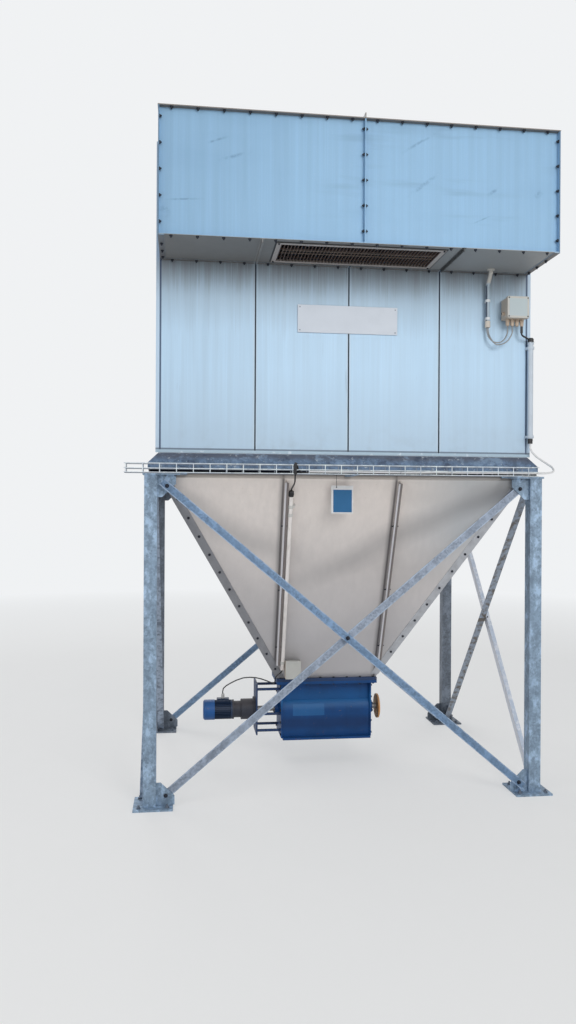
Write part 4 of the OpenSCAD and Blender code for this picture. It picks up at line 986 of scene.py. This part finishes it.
# The hopper's conduit. Its place has Z along the pipe's axis and starts at the pipe's foot.
slope_run, slope_rise = HOPPER_Y - OUTLET_Y, SLOPE_TOP - SLOPE_LOW
slope_length = (slope_run**2 + slope_rise**2) ** 0.5
slope_lean = Vector((slope_rise, slope_run)).angle(Vector((1, 0)))
foot_gap, head_gap = 0.112, 0.1
conduit_foot_x, standoff = -0.34, 0.034
conduit = (
    at_point(conduit_foot_x, -HOPPER_Y, SLOPE_TOP)
    @ Matrix.Rotation(slope_lean, 4, "X")
    @ at_point(0, 0, foot_gap - slope_length)
    @ Matrix.Rotation(-SEAM_LEAN, 4, "Y")
    @ at_point(0, -standoff, 0)
)
conduit_top = slope_length - foot_gap - head_gap
lug_z = conduit_top - 0.088
bm = bmesh.new()
prism(bm, 16, 0.0172, conduit_top - 0.008, conduit_top + 0.022, place=conduit)
prism(bm, 16, 0.0185, conduit_top + 0.002, conduit_top + 0.012, place=conduit)
prism(bm, 16, 0.0172, conduit_top + 0.022, conduit_top + 0.03, 0.012, conduit)
piece("conduit_gland", bm, "sheath black")
bm = bmesh.new()
prism(bm, 28, 0.0152, 0.0, conduit_top - 0.007, place=conduit)
prism(bm, 28, 0.0166, 0.0, 0.03, place=conduit)
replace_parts(piece("conduit_pipe", bm, "pipe grey"), "hopper_conduit")
bm = bmesh.new()
for z in (0.056, conduit_top - 0.148, lug_z):
    prism(bm, 18, 0.0182, z, z + 0.012, place=conduit)
    prism(bm, 18, 0.0168, z - 0.006, z + 0.018, place=conduit)
before = set(bm.verts)
for x in (-0.022, 0.022):
    panel(bm, (x - 0.008, -0.004, lug_z), (x + 0.008, standoff, lug_z + 0.01), 0.001)
bmesh.ops.transform(bm, matrix=conduit, verts=[v for v in bm.verts if v not in before])
piece("conduit_clips", bm, "gland white")

# The white cable: from the corner pipe in an open bend, along the tray's front and down to its floor.
CABLE_RADIUS = 0.0064
CABLE_ROUTE = [
    (1.212, -0.934, 2.298), (1.214, -0.936, 2.262), (1.232, -0.952, 2.226), (1.262, -0.985, 2.19),
    (1.288, -1.03, 2.158), (1.301, -1.075, 2.131), (1.29, -1.108, 2.108), (1.25, -1.124, 2.097),
    (1.18, -1.128, 2.094), (1.0, -1.128, 2.093), (0.8, -1.128, 2.093), (0.6, -1.127, 2.0925),
    (0.55, -1.118, 2.093), (0.5, -1.095, 2.0935), (0.45, -1.066, 2.0935), (0.38, -1.046, 2.0935),
    (0.2, -1.044, 2.0935), (-0.275, -1.044, 2.0935),
]


def cable_mesh(bm, points, radius):
    """Adds a round cable that runs smoothly through the points."""
    curve = bpy.data.curves.new("route", "CURVE")
    curve.dimensions = "3D"
    curve.bevel_depth = radius
    curve.bevel_resolution = 2
    curve.resolution_u = 8
    curve.use_fill_caps = True
    spline = curve.splines.new("BEZIER")
    spline.bezier_points.add(len(points) - 1)
    for knot, at in zip(spline.bezier_points, points):
        knot.co = at
        knot.handle_left_type = knot.handle_right_type = "AUTO"
    route = bpy.data.objects.new("route", curve)
    bm.from_mesh(route.to_mesh())
    route.to_mesh_clear()
    bpy.data.objects.remove(route)
    bpy.data.curves.remove(curve)


bm = bmesh.new()
cable_mesh(bm, CABLE_ROUTE, CABLE_RADIUS)
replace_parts(piece("cable_run", bm, "sheath white", smooth=True), "tray_cable")

# Tape that ties the cable to the tray's front side: five uneven turns, each a height and a radius.
TURNS = ((2.082, 0.010), (2.094, 0.012), (2.108, 0.0125), (2.122, 0.0115), (2.133, 0.009))
tape_x, tape_y, half_width = -0.3755, -1.1475, 0.009
bm = bmesh.new()
for i, (z, radius) in enumerate(TURNS):
    place = at_point(tape_x + 0.0012 * (-1) ** i, tape_y, z)
    place = place @ Matrix.Rotation(0.5 * i, 4, "Z") @ Matrix.Rotation(0.12 * (i - 2), 4, "X")
    prism(bm, 7, radius, -half_width, half_width, radius * 0.8, place)
piece("tray_tape", bm, "sheath black")

# The motor's white gland, round the stub on top of the terminal box.
box_top, stub_top = 0.438, 0.4635
stub = [v.co.copy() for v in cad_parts["motor"].data.vertices if v.co.z > stub_top]
middle = sum(stub, Vector()) / len(stub)
on_box = at_point(middle.x, middle.y, box_top)
bm = bmesh.new()
prism(bm, 6, 0.0145, 0, 0.008, place=on_box)
prism(bm, 16, 0.0125, 0.008, 0.0275, place=on_box)
prism(bm, 16, 0.0125, 0.0275, 0.033, 0.008, on_box)
piece("motor_gland", bm, "gland white")

# Bare label that hangs plumb from the ring beam on a thin wire.
label_back, label_face, field_face = -0.9135, -0.9165, -0.9178
wire_x, wire_low, wire_top = -0.0775, 2.0, 2.0802
bm = bmesh.new()
panel(bm, (-0.111, label_face, 1.833), (0.031, label_back, 2.012), 0.001)
piece("label_back", bm, "label white")
bm = bmesh.new()
panel(bm, (-0.098, field_face, 1.841), (0.023, label_face + 0.0005, 1.985), 0.0006)
piece("label_front", bm, "label blue")
bm = bmesh.new()
prism(bm, 6, 0.0014, wire_low, wire_top, place=at_point(wire_x, field_face, 0))
prism(bm, 10, 0.004, 0, 0.0022, place=along((wire_x, label_face + 0.0003, wire_low + 0.001), FRONT))
piece("label_wire", bm, "bolt dark")


# The view and the light


CAMERA_PLACE = (-1.033, -6.01, 1.85)
YAW, PITCH, ROLL = radians(7.2), radians(-0.1), radians(0.29)
FOCAL_PX, HEIGHT_PX = 808, 1024  # focal length and height of the photograph, in pixels
SENSOR_MM = 36

BACKDROP = (0.87, 0.886, 0.9)
ROOM_COLOUR, ROOM_SHINES, ROOM_LOOKS = (0.97, 0.985, 1), 0.41, 0.9
SEEN_RAYS = ("Is Camera Ray", "Is Glossy Ray", "Is Transmission Ray")


def stand_camera():
    """The camera that took the photograph."""
    data = bpy.data.cameras.new("view")
    data.sensor_width = SENSOR_MM
    data.lens = FOCAL_PX * SENSOR_MM / HEIGHT_PX
    camera = placed("view", data)
    turn = Matrix.Rotation(-YAW, 4, "Z") @ Matrix.Rotation(pi / 2 + PITCH, 4, "X")
    camera.matrix_world = Matrix.Translation(CAMERA_PLACE) @ turn @ Matrix.Rotation(ROLL, 4, "Z")
    bpy.context.scene.camera = camera


def lamp(name, place, target, size, power, colour):
    """A square lamp that shines on a target."""
    data = bpy.data.lights.new(name, "AREA")
    data.shape = "SQUARE"
    data.size = size
    data.energy = power
    data.color = colour
    turn = (Vector(target) - Vector(place)).to_track_quat("-Z", "Y").to_matrix().to_4x4()
    placed(name, data).matrix_world = Matrix.Translation(place) @ turn


def seen_rays(tree):
    """1 for rays that look at a surface or the room, 0 for those that only carry light."""
    path = tree.nodes.new("ShaderNodeLightPath")
    seen = path.outputs[SEEN_RAYS[0]]
    for ray in SEEN_RAYS[1:]:
        either = tree.nodes.new("ShaderNodeMath")
        either.operation = "MAXIMUM"
        tree.links.new(seen, either.inputs[0])
        tree.links.new(path.outputs[ray], either.inputs[1])
        seen = either.outputs[0]
    return seen


def light_studio():
    """Three lamps in a pale room, which looks brighter than it shines."""
    world = bpy.data.worlds.new("studio")
    bpy.context.scene.world = world
    world.use_nodes = True
    tree = world.node_tree
    strength = tree.nodes.new("ShaderNodeMapRange")
    strength.inputs["To Min"].default_value = ROOM_SHINES
    strength.inputs["To Max"].default_value = ROOM_LOOKS
    tree.links.new(seen_rays(tree), strength.inputs["Value"])
    back = tree.nodes["Background"]
    back.inputs["Color"].default_value = (*ROOM_COLOUR, 1)
    tree.links.new(strength.outputs[0], back.inputs["Strength"])
    lamp("key", (2.2, -9.5, 5.2), (0, 0, 2.0), 4, 305, (1, 0.99, 0.97))
    lamp("fill", (-7.0, -5.0, 4.5), (0, 0, 2.0), 4, 105, (0.97, 0.98, 1))
    lamp("rear", (-2, 8, 7.5), (0, 0, 2.5), 5, 220, (1, 1, 1))


def lay_floor():
    """A pale floor that fades into the background's colour away from the unit."""
    bm = bmesh.new()
    bmesh.ops.create_grid(bm, x_segments=1, y_segments=1, size=60)
    f = Finish("floor", roughness=0.9)
    f.set("Base Color", f.blend(f.noise(3, 5) * 0.3, (0.9, 0.89, 0.875), (0.83, 0.82, 0.8)))
    far = f.x.maths("SQRT", f.x * f.x + f.y * f.y).above(5.0, 8.0)
    seen = Value(f, seen_rays(f.tree))
    glow = f.node("ShaderNodeEmission", {}, {"Color": (*BACKDROP, 1), "Strength": 1.0})
    surface = Value(f, f.shader.outputs[0])
    mixed = f.node("ShaderNodeMixShader", {}, {0: seen * (0.48 + 0.52 * far), 1: surface, 2: glow})
    f.tree.links.new(mixed.socket, f.tree.nodes["Material Output"].inputs["Surface"])
    floor = placed("floor", as_mesh("floor", bm))
    floor.data.materials.append(f.material)


stand_camera()
light_studio()
lay_floor()
bpy.context.scene.view_settings.view_transform = "Standard"
